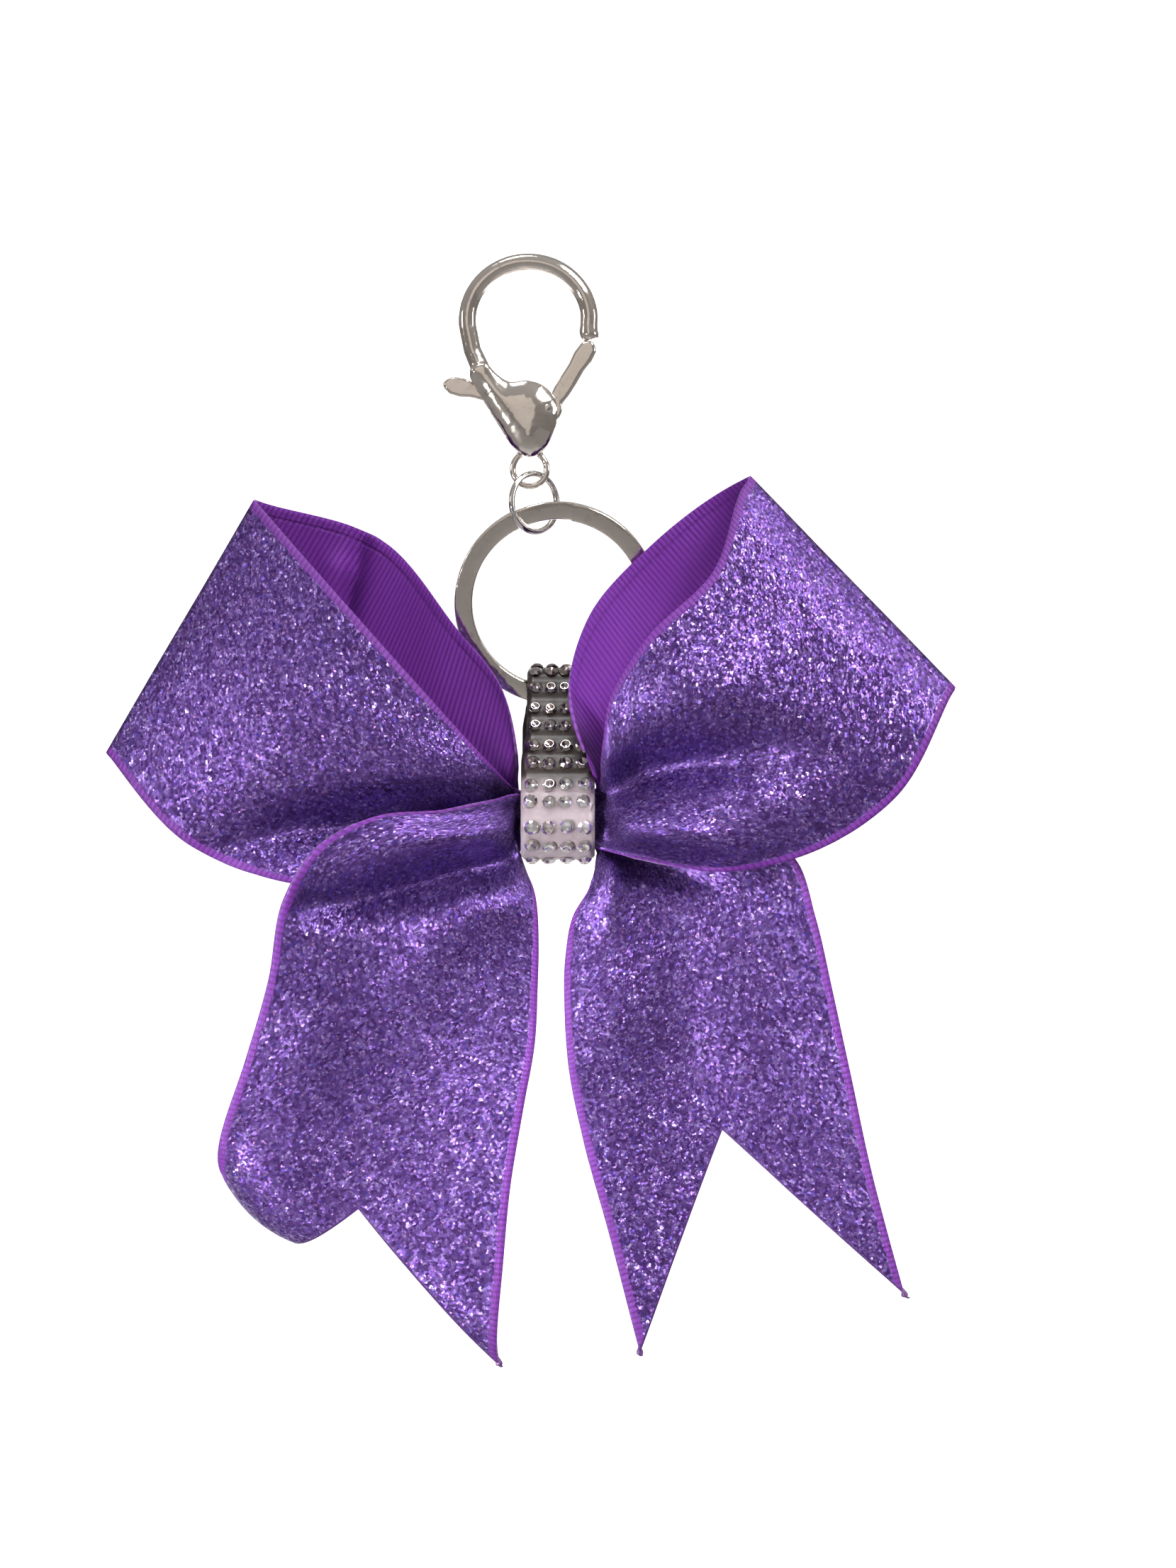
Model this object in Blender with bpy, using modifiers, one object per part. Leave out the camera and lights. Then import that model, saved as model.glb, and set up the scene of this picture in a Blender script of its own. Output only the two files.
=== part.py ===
"""A cheer hair bow made up as a bag charm: a glitter ribbon bow held by a rhinestone band, which
hangs from a split ring, a jump ring and a lobster clasp.

It hangs as it does on a bag: +Z is up, +X is to the right of the bow and its front faces -Y.
The origin is the inside of the top of the clasp's hook, where it rests on what it hangs from.
"""

import math

import bmesh
import bpy
import numpy as np
from mathutils import Matrix, Vector

MM = 0.001
GAP = 0.3 * MM  # between pieces that touch

# Lobster clasp: a cast hook on a flat cheeked body, with an eye under it
HOOK_WIRE_RADIUS = 1.2 * MM
HOOK_HALF_WIDTH = 8.2 * MM  # to the middle of the wire
HOOK_HALF_HEIGHT = 7.8 * MM
HOOK_OFFSET = -0.7 * MM  # the hook's middle, left of what it hangs on
BODY_DEPTH = 4.6 * MM
BODY_EDGE = 0.7 * MM
LEVER_DEPTH = 1.8 * MM
LEVER_WIDTH = 2.1 * MM
LEVER_TRAVEL = 22.0  # degrees
HUB_RADIUS = 1.9 * MM
PIN_RADIUS = 0.6 * MM
PIN_CLEARANCE = 0.15 * MM
SLOT_CLEARANCE = 0.25 * MM
SPRING_RADIUS = 0.7 * MM
SPRING_WIRE = 0.16 * MM
EYE_RADIUS = 2.3 * MM
EYE_WIRE_RADIUS = 0.45 * MM

# Rings
JUMP_RADIUS = 3.9 * MM
JUMP_WIRE_RADIUS = 0.45 * MM
JUMP_TURN = 40.0  # degrees from the bow's face
JUMP_DROP = 0.6 * MM  # its top, under the middle of the eye
RING_RADIUS = 12.6 * MM  # to the middle of the flat wire
RING_WIRE_WIDTH = 2.4 * MM
RING_WIRE_DEPTH = 0.8 * MM
RING_TURN_SPACING = 0.92 * MM
RING_TILT = 12.0  # degrees, its foot behind its top
RING_OFFSET = 3.0 * MM  # its middle, right of the jump ring
RING_SLACK = 2.1 * MM  # the flat wire's middle, above the foot of the jump ring

# Rhinestone band: a strip of clear silicone round the split ring and the knot
BAND_WIDTH = 9.8 * MM
BAND_THICKNESS = 1.0 * MM
BAND_RING_RADIUS = 2.75 * MM  # inside, round the flat wire
BAND_KNOT_RADIUS = 4.2 * MM  # inside, round the knot
TAB_RUN = 9.2 * MM  # the knot's middle, in front of the ring's foot
TAB_DROP = 17.0 * MM  # and under it
KNOT_OFFSET = 0.2 * MM  # and right of the split ring's middle
LAP_LENGTH = 8.0 * MM
GLUE_THICKNESS = 0.2 * MM
GLUE_GAP = 0.05 * MM
STONE_RADIUS = 1.0 * MM
STONE_TABLE_RADIUS = 0.55 * MM
STONE_HEIGHT = 0.8 * MM
STONE_PITCH = 2.3 * MM
STONE_SIDES = 6
STONES_ACROSS = 4
ROW_COUNT = 22
FOIL_WIDTH = 1.4 * MM
FOIL_THICKNESS = 0.3 * MM

# Ribbon
RIBBON_THICKNESS = 0.8 * MM
BUNDLE_SPACING = 1.6 * MM  # between the three strands inside the tie
BUNDLE_HALF_HEIGHT = 2.1 * MM
TIE_RADIUS = 3.35 * MM  # inside
TIE_THICKNESS = 0.45 * MM
TIE_WIDTH = 3.0 * MM
BOW_SPAN = 111.9 * MM  # left loop to right loop
LOOP_RISE = 45.5 * MM  # knot to the top of the higher loop
TAIL_DROP = 72.5 * MM  # knot to the lower tip
LEFT_NOTCH = 18.5 * MM
RIGHT_NOTCH = 26.0 * MM
CURL_RADIUS = 7.5 * MM
CURL_START = 56.5 * MM  # from the knot to where the left tip starts to roll back

# The stations below were drawn at these sizes, in millimetres from the knot's middle
DRAWN_SPAN, DRAWN_RISE, DRAWN_DROP = 111.9, 45.5, 72.5
CURL_DIRECTION = Vector((-0.57, 0.0, -0.82)).normalized()

EYE_CENTRE = Vector((-0.5, 0.0, -26.6)) * MM
PIVOT = Vector((1.9, 0.0, -18.6)) * MM
SPRING_FOOT = Vector((-1.7, 0.0, -22.3)) * MM
SPRING_HEAD = -19.4 * MM
SLOT_HALF = LEVER_DEPTH / 2 + SLOT_CLEARANCE

JUMP_CENTRE = Vector((0.1 * MM, 0.0, EYE_CENTRE.z - JUMP_DROP - JUMP_RADIUS))
RING_HEIGHT = math.sqrt(RING_RADIUS**2 - RING_OFFSET**2)  # over the jump ring's foot
TILT = math.radians(RING_TILT)
RING_TOP_Z = JUMP_CENTRE.z - JUMP_RADIUS + RING_SLACK + JUMP_WIRE_RADIUS
RING_CENTRE = Vector((
    JUMP_CENTRE.x + RING_OFFSET,
    RING_HEIGHT * math.sin(TILT),
    RING_TOP_Z - RING_HEIGHT * math.cos(TILT),
))
RING_FOOT = RING_CENTRE + RING_RADIUS * Vector((0.0, math.sin(TILT), -math.cos(TILT)))
KNOT = RING_FOOT + Vector((KNOT_OFFSET, -TAB_RUN, -TAB_DROP))
EDGE = BAND_WIDTH / 2 / MM + 0.35  # where the ribbon comes out beside the band, in mm

# Each station is (one edge, the other edge, how far the cloth bows forward between them).
LEFT_LOOP = [
    ((-EDGE, 1.9, 3.0), (-EDGE, 1.9, -3.0), 0.0),
    ((-6.6, 2.6, 9.0), (-8.4, 2.4, -5.6), 0.0),
    ((-7.6, 3.0, 17.8), (-13.5, 2.6, -7.9), -0.4),
    ((-13.6, 3.0, 25.8), (-25.1, 2.2, -9.2), -0.8),
    ((-23.2, 2.2, 37.3), (-42.8, 1.2, 4.2), -0.5),
    ((-38.4, -2.0, 42.0), (-58.0, -2.0, 9.0), 0.0),
    ((-40.0, -3.3, 42.4), (-59.5, -3.3, 9.1), 0.0),
    ((-38.8, -4.6, 41.0), (-58.5, -4.6, 7.9), 0.0),
    ((-28.4, -9.0, 29.3), (-48.1, -7.0, -3.2), 1.4),
    ((-16.9, -8.6, 16.4), (-34.1, -6.4, -8.2), 1.2),
    ((-8.8, -4.8, 7.4), (-15.1, -3.6, -6.7), 0.2),
    ((-EDGE, 0.0, 3.5), (-EDGE, 0.0, -3.5), 0.0),
]
RIGHT_LOOP = [
    ((EDGE, 1.9, 3.0), (EDGE, 1.9, -3.0), 0.0),
    ((6.4, -1.5, 6.6), (9.0, 1.6, -5.4), 0.0),
    ((3.6, -3.8, 10.6), (12.9, 1.6, -7.0), 0.0),
    ((1.5, 0.2, 17.8), (18.9, 1.8, -7.2), 0.0),
    ((4.1, 2.0, 27.3), (26.9, 2.0, -3.7), -0.4),
    ((12.4, 2.0, 36.8), (37.9, 1.2, 8.3), -0.4),
    ((23.8, -2.0, 44.9), (50.7, -2.0, 17.3), 0.0),
    ((25.3, -3.3, 45.5), (52.4, -3.3, 17.6), 0.0),
    ((24.4, -4.6, 44.0), (51.6, -4.6, 16.2), 0.0),
    ((20.4, -8.4, 32.8), (44.4, -7.6, 3.3), 1.2),
    ((11.5, -10.4, 23.7), (33.4, -8.6, -4.0), 1.6),
    ((6.9, -9.2, 16.0), (21.4, -8.0, -6.5), 0.8),
    ((5.9, -7.2, 8.5), (10.8, -7.0, -5.0), 0.2),
    ((EDGE, -2.0, 3.0), (EDGE, -2.0, -3.0), 0.0),
]
LEFT_TAIL = [
    ((-EDGE, -2.0, 3.0), (-EDGE, -2.0, -3.0), 0.0),
    ((-8.5, -6.6, 2.9), (-5.9, -5.4, -5.2), 0.0),
    ((-15.0, -9.6, 1.6), (-3.6, -6.8, -9.0), 0.4),
    ((-24.1, -12.4, 0.6), (-2.7, -6.6, -12.2), 0.8),
    ((-31.1, -13.0, -3.2), (-2.5, -6.0, -16.6), 1.4),
    ((-35.6, -11.5, -10.2), (-2.6, -5.0, -21.7), 2.0),
    ((-37.8, -8.5, -20.7), (-3.0, -4.0, -29.2), 2.6),
    ((-41.1, -6.0, -31.7), (-4.4, -3.2, -37.2), 2.6),
    ((-44.4, -4.5, -41.7), (-6.1, -2.6, -47.2), 2.4),
    ((-46.4, -3.5, -54.2), (-7.3, -2.0, -59.7), 2.0),
    ((-47.6, -3.0, -66.2), (-8.5, -1.5, -72.5), 1.6),
]
RIGHT_TAIL = [
    ((EDGE, -0.1, 2.4), (EDGE, 0.0, -3.5), 0.0),
    ((8.6, -2.3, 0.8), (6.6, -0.7, -5.4), 0.0),
    ((14.9, -3.2, 1.2), (5.9, -2.0, -8.0), 0.0),
    ((24.9, -2.8, -0.4), (2.6, -2.2, -12.2), 0.4),
    ((31.4, -2.8, -4.9), (1.1, -2.2, -17.7), 0.8),
    ((34.1, -2.6, -12.7), (0.9, -2.0, -24.7), 1.6),
    ((36.2, -2.0, -21.7), (1.4, -1.8, -32.2), 2.4),
    ((38.7, -1.0, -33.2), (3.3, -1.2, -41.7), 2.8),
    ((41.5, 0.0, -46.2), (6.5, -0.4, -53.2), 2.8),
    ((45.8, 1.0, -62.5), (10.8, 0.4, -69.6), 2.4),
]
STEPS_PER_STATION = 3
STEPS_ACROSS = 10


def clear_scene():
    for obj in list(bpy.data.objects):
        bpy.data.objects.remove(obj, do_unlink=True)


def collection(name):
    made = bpy.data.collections.new(name)
    bpy.context.scene.collection.children.link(made)
    return made


def material(name, colour, roughness, metallic=0.0):
    made = bpy.data.materials.new(name)
    made.use_nodes = True
    shader = made.node_tree.nodes["Principled BSDF"]
    shader.inputs["Base Color"].default_value = (*colour, 1.0)
    shader.inputs["Roughness"].default_value = roughness
    shader.inputs["Metallic"].default_value = metallic
    return made


def add(name, data, finish, group):
    obj = bpy.data.objects.new(name, data)
    group.objects.link(obj)
    if finish:
        data.materials.append(finish)
    return obj


def parent_keeping_place(obj, pivot):
    """Hangs a piece on the empty at its joint, and leaves it where it is."""
    bpy.context.view_layer.update()
    obj.parent = pivot
    obj.matrix_parent_inverse = pivot.matrix_world.inverted()


def joint_empty(name, place, group, above=None):
    empty = bpy.data.objects.new(name, None)
    empty.location = place
    empty.empty_display_size = 4 * MM
    group.objects.link(empty)
    if above:
        parent_keeping_place(empty, above)
    return empty


def smooth(mesh, angle=35.0):
    mesh.shade_smooth()
    mesh.set_sharp_from_angle(angle=math.radians(angle))


def wire(name, points, radius, finish, group, radii=None, closed=False, sides=2):
    """A round wire along the points."""
    data = bpy.data.curves.new(name, "CURVE")
    data.dimensions = "3D"
    data.bevel_depth = radius
    data.bevel_resolution = sides
    data.use_fill_caps = True
    spline = data.splines.new("POLY")
    spline.points.add(len(points) - 1)
    for index, point in enumerate(points):
        spline.points[index].co = (*point, 1.0)
        spline.points[index].radius = radii[index] if radii else 1.0
    spline.use_cyclic_u = closed
    return add(name, data, finish, group)


def plate(name, outlines, depth, edge, finish, group):
    """A flat piece in the XZ plane, of the outline's size, with its edges rounded."""
    data = bpy.data.curves.new(name, "CURVE")
    data.dimensions = "2D"
    data.fill_mode = "BOTH"
    data.extrude = depth / 2 - edge
    data.bevel_depth = edge
    data.bevel_resolution = 1
    data.offset = -edge
    for outline in outlines:
        spline = data.splines.new("POLY")
        spline.points.add(len(outline) - 1)
        for point, (x, z) in zip(spline.points, outline):
            point.co = (x, z, 0.0, 1.0)
        spline.use_cyclic_u = True
    obj = add(name, data, finish, group)
    obj.rotation_euler = (math.pi / 2, 0.0, 0.0)
    return obj


def as_mesh(obj):
    """Makes a curve a mesh with its caps welded, for a Boolean."""
    bpy.context.view_layer.update()
    graph = bpy.context.evaluated_depsgraph_get()
    mesh = bpy.data.meshes.new_from_object(obj.evaluated_get(graph))
    shape = bmesh.new()
    shape.from_mesh(mesh)
    bmesh.ops.remove_doubles(shape, verts=shape.verts, dist=0.001 * MM)
    bmesh.ops.recalc_face_normals(shape, faces=shape.faces)
    shape.to_mesh(mesh)
    shape.free()
    name, matrix, group = obj.name, obj.matrix_world.copy(), obj.users_collection[0]
    bpy.data.objects.remove(obj, do_unlink=True)
    mesh.name = name
    made = bpy.data.objects.new(name, mesh)
    made.matrix_world = matrix
    group.objects.link(made)
    return made


def boolean(obj, other, operation):
    modifier = obj.modifiers.new(other.name, "BOOLEAN")
    modifier.operation = operation
    modifier.object = other


def helper(obj):
    """A shape that only joins or cuts another."""
    obj.hide_render = True
    obj.display_type = "WIRE"
    return obj


def smooth_path(points, steps, closed=False):
    """Points along a smooth curve through the given ones, which keeps an even pace between them."""
    points = [Vector(point) for point in points]
    count = len(points)
    spans = count if closed else count - 1
    made = []
    for index in range(spans):
        here, there = points[index], points[(index + 1) % count]
        before = points[index - 1] if index or closed else here
        after = points[(index + 2) % count] if index < spans - 1 or closed else there
        run = (there - here).length
        leave = slope(before, here, there) * run
        arrive = slope(here, there, after) * run
        for step in range(steps):
            t = step / steps
            made.append(
                here * (1 + t * t * (2 * t - 3))
                + leave * (t * (1 - t) ** 2)
                + arrive * (t * t * (t - 1))
                + there * (t * t * (3 - 2 * t))
            )
    if not closed:
        made.append(points[-1])
    return made


def slope(before, here, after):
    """The direction at a point, weighted so that a short span beside a long one stays smooth."""
    back, ahead = (here - before).length, (after - here).length
    if back == 0:
        return (after - here) / ahead
    if ahead == 0:
        return (here - before) / back
    return ((after - here) / ahead * back + (here - before) / back * ahead) / (back + ahead)


# ---------------------------------------------------------------- lobster clasp


def hook_points():
    """Up the left leg, over the top and down to the nose, along the middle of the wire."""
    middle = Vector((HOOK_OFFSET, 0.0, HOOK_WIRE_RADIUS - HOOK_HALF_HEIGHT))
    arc = [
        middle + Vector((HOOK_HALF_WIDTH * math.cos(a), 0.0, HOOK_HALF_HEIGHT * math.sin(a)))
        for a in np.radians(np.arange(186, -11, -14))
    ]
    leg = [Vector((-5.0, 0.0, -16.4)) * MM, Vector((-6.9, 0.0, -13.6)) * MM]
    nose = [Vector((7.6, 0.0, -9.3)) * MM]
    return smooth_path(leg + arc + nose, 2)


def body_outline():
    """The teardrop between the hook's leg and the eye, from its top left corner."""
    corners = [
        (-8.5, -13.2), (-6.5, -17.8), (-4.3, -21.3), (-2.3, -24.2), (-0.5, -25.1), (1.3, -24.2),
        (2.6, -21.9), (3.2, -19.4), (2.9, -17.2), (1.2, -15.4), (-0.9, -14.8), (-3.2, -15.0),
        (-5.2, -13.7), (-6.4, -12.4),
    ]
    return flat([Vector((x, 0.0, z)) * MM for x, z in corners], 3)


def flat(points, steps):
    return [(point.x, point.z) for point in smooth_path(points, steps, closed=True)]


def stroke(points, half_widths):
    """The outline of a flat bar that follows the points, with round ends."""
    left, right = [], []
    for index, (point, half) in enumerate(zip(points, half_widths)):
        before, after = points[max(index - 1, 0)], points[min(index + 1, len(points) - 1)]
        along = (after - before).normalized()
        across = Vector((-along.z, 0.0, along.x))
        left.append(point + across * half)
        right.append(point - across * half)
    start = (points[1] - points[0]).normalized()
    end = (points[-1] - points[-2]).normalized()
    cap_start = points[0] - start * half_widths[0]
    cap_end = points[-1] + end * half_widths[-1]
    return [cap_start, *left, cap_end, *reversed(right)]


def lever_points():
    """From the thumb end to the pivot, and on up the gate to the hook's nose."""
    thumb = [(-11.0, -15.4), (-8.0, -16.1), (-4.0, -17.2)]
    gate = [(3.6, -16.4), (5.3, -13.6), (6.7, -11.3)]
    return (
        [Vector((x, 0.0, z)) * MM for x, z in thumb]
        + [PIVOT]
        + [Vector((x, 0.0, z)) * MM for x, z in gate]
    )


def clasp_lever(finish, group, tools):
    half = LEVER_WIDTH / 2
    points = lever_points()
    outline = stroke(points, [1.15 * half, 0.95 * half, half, half, half, 0.9 * half, 0.9 * half])
    lever = as_mesh(plate("clasp_lever", [flat(outline, 2)], LEVER_DEPTH, 0.3 * MM, None, group))
    lever.data.materials.append(finish)
    hub = turned_disc("lever_hub", PIVOT, HUB_RADIUS, LEVER_DEPTH + SLOT_CLEARANCE / 2, tools)
    boolean(lever, hub, "UNION")
    bore = turned_disc("lever_bore", PIVOT, PIN_RADIUS + PIN_CLEARANCE, 2 * BODY_DEPTH, tools)
    boolean(lever, bore, "DIFFERENCE")
    smooth(lever.data)
    return lever


def turned_disc(name, place, radius, depth, group, sides=20):
    shape = bmesh.new()
    bmesh.ops.create_cone(
        shape, cap_ends=True, segments=sides, radius1=radius, radius2=radius, depth=depth
    )
    mesh = bpy.data.meshes.new(name)
    shape.to_mesh(mesh)
    shape.free()
    obj = helper(add(name, mesh, None, group))
    obj.location = place
    obj.rotation_euler = (math.pi / 2, 0.0, 0.0)
    return obj


def slot_outline():
    """What the lever sweeps inside the body, with clearance."""
    reach = LEVER_WIDTH / 2 + SLOT_CLEARANCE
    swept = []
    for turn in np.radians(np.linspace(0, LEVER_TRAVEL + 2, 5)):
        spin = Matrix.Rotation(-turn, 3, "Y")
        swept.append([PIVOT + spin @ (point - PIVOT) for point in lever_points()[:4]])
    top = [point + Vector((0.0, 0.0, reach)) for point in swept[0]]
    bottom = [point - Vector((0.0, 0.0, reach)) for point in swept[-1]]
    tip = Vector((-3.0 * MM, 0.0, 0.0))
    right = Vector((PIVOT.x + 3 * HUB_RADIUS, 0.0, 0.0))
    heel = PIVOT.z - HUB_RADIUS - SLOT_CLEARANCE
    return [
        *[(point + tip * (index == 0)).xz for index, point in enumerate(top[:3])],
        (PIVOT.x - HUB_RADIUS, -12.0 * MM),
        (right.x, -12.0 * MM),
        (right.x, heel),
        (PIVOT.x - HUB_RADIUS / 2, heel),
        (SPRING_FOOT.x + SPRING_RADIUS + SLOT_CLEARANCE, SPRING_FOOT.z - GAP),
        (SPRING_FOOT.x - SPRING_RADIUS - SLOT_CLEARANCE, SPRING_FOOT.z - GAP),
        *[(point + tip * (index == 0)).xz for index, point in reversed(list(enumerate(bottom[:2])))],
    ]


def clasp_body(finish, group, tools):
    body = as_mesh(plate("clasp_body", [body_outline()], BODY_DEPTH, BODY_EDGE, None, group))
    body.data.materials.append(finish)
    points = hook_points()
    radii = [1.25, 1.2, 1.1] + [1.0] * (len(points) - 6) + [1.05, 1.1, 1.1]
    hook = helper(as_mesh(wire("hook_wire", points, HOOK_WIRE_RADIUS, None, tools, radii)))
    slot = plate("lever_slot", [slot_outline()], 2 * SLOT_HALF, 0.0, None, tools)
    slot.data.offset = 0.0
    slot = helper(as_mesh(slot))
    bpy.ops.mesh.primitive_torus_add(
        location=EYE_CENTRE, rotation=(math.pi / 2, 0.0, 0.0), major_radius=EYE_RADIUS,
        minor_radius=EYE_WIRE_RADIUS, major_segments=32, minor_segments=10,
    )
    eye = helper(bpy.context.object)
    eye.name = "clasp_eye"
    for owner in eye.users_collection:
        owner.objects.unlink(eye)
    tools.objects.link(eye)
    pin_hole = turned_disc("pin_hole", PIVOT, PIN_RADIUS + PIN_CLEARANCE, 2 * BODY_DEPTH, tools)
    boolean(body, hook, "UNION")
    boolean(body, eye, "UNION")
    boolean(body, slot, "DIFFERENCE")
    boolean(body, pin_hole, "DIFFERENCE")
    smooth(body.data)
    return body


def clasp_pin(finish, group):
    """The rivet that the lever turns on, domed at both ends and flush with the cheeks."""
    half = BODY_DEPTH / 2
    rim = [(0.0, half), (PIN_RADIUS * 0.7, half - 0.05 * MM), (PIN_RADIUS, half - 0.25 * MM)]
    profile = rim + [(r, -z) for r, z in reversed(rim)]
    mesh = bpy.data.meshes.new("clasp_pin")
    mesh.from_pydata([(r, 0.0, z) for r, z in profile],
                     [(i, i + 1) for i in range(len(profile) - 1)], [])
    pin = add("clasp_pin", mesh, finish, group)
    pin.location = PIVOT
    pin.rotation_euler = (math.pi / 2, 0.0, 0.0)
    screw = pin.modifiers.new("turn", "SCREW")
    screw.steps = screw.render_steps = 16
    screw.use_merge_vertices = True
    screw.merge_threshold = 0.01 * MM
    return pin


def clasp_spring(finish, group):
    """The small coil that pushes the thumb end back up."""
    turns, per_turn = 3.5, 8
    height = SPRING_HEAD - SPRING_FOOT.z - 2 * SPRING_WIRE
    points = []
    for step in range(int(turns * per_turn) + 1):
        angle = 2 * math.pi * step / per_turn
        rise = SPRING_WIRE + height * step / (turns * per_turn)
        round_coil = Vector((math.cos(angle), math.sin(angle), 0.0)) * (SPRING_RADIUS - SPRING_WIRE)
        points.append(SPRING_FOOT + round_coil + Vector((0.0, 0.0, rise)))
    return wire("clasp_spring", points, SPRING_WIRE, finish, group, sides=1)


# ---------------------------------------------------------------- rings


def jump_ring(finish, group):
    """A round wire ring whose two ends nearly meet, on the side away from the eye."""
    turn = math.radians(JUMP_TURN)
    sideways = Vector((math.cos(turn), math.sin(turn), 0.0))
    ends = math.radians(2.0)
    start = math.radians(200.0)
    points = []
    for angle in np.linspace(start + ends, start + 2 * math.pi - ends, 45):
        spoke = sideways * math.cos(angle) + Vector((0.0, 0.0, math.sin(angle)))
        points.append(JUMP_CENTRE + spoke * JUMP_RADIUS)
    return wire("jump_ring", points, JUMP_WIRE_RADIUS, finish, group)


def split_ring_layer(angle):
    """0 on the front turn and 1 on the back one, by the angle along the wire from its front end."""
    dive_start, dive_end = 332.0, 360.0
    t = min(max((angle - dive_start) / (dive_end - dive_start), 0.0), 1.0)
    return t * t * (3 - 2 * t)


def split_ring(finish, group, tools):
    """Two turns of flat wire, side by side, with a step from the front turn to the back one."""
    section = bpy.data.curves.new("ring_section", "CURVE")
    section.dimensions = "2D"
    spline = section.splines.new("POLY")
    corners = [(sx * RING_WIRE_WIDTH / 2, sy * RING_WIRE_DEPTH / 2)
               for sx, sy in ((1, 1), (-1, 1), (-1, -1), (1, -1))]
    spline.points.add(len(corners) - 1)
    for point, (x, y) in zip(spline.points, corners):
        point.co = (x, y, 0.0, 1.0)
    spline.use_cyclic_u = True
    guide = helper(add("ring_section", section, None, tools))

    front_end, length, step = 80.0, 686.0, 7.0
    data = bpy.data.curves.new("split_ring", "CURVE")
    data.dimensions = "3D"
    data.twist_mode = "Z_UP"
    data.bevel_mode = "OBJECT"
    data.bevel_object = guide
    data.use_fill_caps = True
    path = data.splines.new("POLY")
    travelled = np.arange(0.0, length + 0.1, step)
    path.points.add(len(travelled) - 1)
    for point, along in zip(path.points, travelled):
        angle = math.radians(front_end - along)
        layer = (0.5 - split_ring_layer(along)) * RING_TURN_SPACING
        point.co = (RING_RADIUS * math.cos(angle), RING_RADIUS * math.sin(angle), layer, 1.0)
    ring = add("split_ring", data, finish, group)
    ring.location = RING_CENTRE
    ring.rotation_euler = (math.pi / 2 + TILT, 0.0, 0.0)
    return as_mesh(ring)


# ---------------------------------------------------------------- rhinestone band


def belt_normals():
    """The outward directions of the band's front and back runs, in the YZ plane."""
    across = (RING_FOOT - KNOT).yz
    reach = across.length
    along = across / reach
    lean = (BAND_KNOT_RADIUS - BAND_RING_RADIUS) / reach
    rest = math.sqrt(1 - lean * lean)
    front = along * lean + Vector((-along.y, along.x)) * rest
    back = along * lean + Vector((along.y, -along.x)) * rest
    return front, back


def belt_length(offset):
    turn = sweep(*belt_normals())
    arcs = (BAND_KNOT_RADIUS + offset) * turn + (BAND_RING_RADIUS + offset) * (2 * math.pi - turn)
    return arcs + 2 * straight_run()


def sweep(front, back):
    """The angle that the band turns through round the knot, from its front run to its back run."""
    start, end = math.atan2(front.y, front.x), math.atan2(back.y, back.x)
    return (end - start) % (2 * math.pi)


def straight_run():
    across = (RING_FOOT - KNOT).yz
    return math.sqrt(across.length**2 - (BAND_KNOT_RADIUS - BAND_RING_RADIUS) ** 2)


def belt_point(distance, offset):
    """A place on the band and its outward direction, by the distance along it from the front run's
    top, down over the knot and up the back."""
    front, back = belt_normals()
    turn, run = sweep(front, back), straight_run()
    knot_radius, ring_radius = BAND_KNOT_RADIUS + offset, BAND_RING_RADIUS + offset
    knot_arc = knot_radius * turn
    ring, knot = RING_FOOT.yz, KNOT.yz
    distance %= belt_length(offset)
    if distance < run:
        share, normal = distance / run, front
        place = (ring + front * ring_radius).lerp(knot + front * knot_radius, share)
    elif distance < run + knot_arc:
        normal = turned(front, (distance - run) / knot_radius)
        place = knot + normal * knot_radius
    elif distance < 2 * run + knot_arc:
        share, normal = (distance - run - knot_arc) / run, back
        place = (knot + back * knot_radius).lerp(ring + back * ring_radius, share)
    else:
        normal = turned(back, (distance - 2 * run - knot_arc) / ring_radius)
        place = ring + normal * ring_radius
    return place, normal


def turned(vector, angle):
    return Vector((
        vector.x * math.cos(angle) - vector.y * math.sin(angle),
        vector.x * math.sin(angle) + vector.y * math.cos(angle),
    ))


def belt_outline(offset, count=56):
    return [belt_point(belt_length(offset) * index / count, offset)[0] for index in range(count)]


def sideways_plate(name, outlines, width, finish, group):
    """A flat outline in the YZ plane, extruded to a width along X about the knot's middle."""
    data = bpy.data.curves.new(name, "CURVE")
    data.dimensions = "2D"
    data.fill_mode = "BOTH"
    data.extrude = width / 2
    for outline in outlines:
        spline = data.splines.new("POLY")
        spline.points.add(len(outline) - 1)
        for point, place in zip(spline.points, outline):
            point.co = (place.x, place.y, 0.0, 1.0)
        spline.use_cyclic_u = True
    obj = add(name, data, finish, group)
    obj.location = (KNOT.x, 0.0, 0.0)
    obj.rotation_euler = (math.pi / 2, 0.0, math.pi / 2)
    return obj


def band_base(finish, group):
    outlines = [belt_outline(BAND_THICKNESS), belt_outline(0.0)]
    return sideways_plate("band_base", outlines, BAND_WIDTH, finish, group)


def lap_middle():
    """The distance along the band to the middle of its back run."""
    return 1.5 * straight_run() + (BAND_KNOT_RADIUS + BAND_THICKNESS) * sweep(*belt_normals())


def lap_strip(name, inner, thickness, width, finish, group):
    """A flat piece on the band's back run."""
    corners = []
    for side, offset in ((-1, inner), (1, inner), (1, inner + thickness), (-1, inner + thickness)):
        place, normal = belt_point(lap_middle(), BAND_THICKNESS)
        along = turned(normal, math.pi / 2)
        corners.append(place + along * side * LAP_LENGTH / 2 + normal * offset)
    return sideways_plate(name, [corners], width, finish, group)


def glue_film(finish, group):
    return lap_strip("glue_film", GLUE_GAP, GLUE_THICKNESS, 0.8 * BAND_WIDTH, finish, group)


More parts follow.
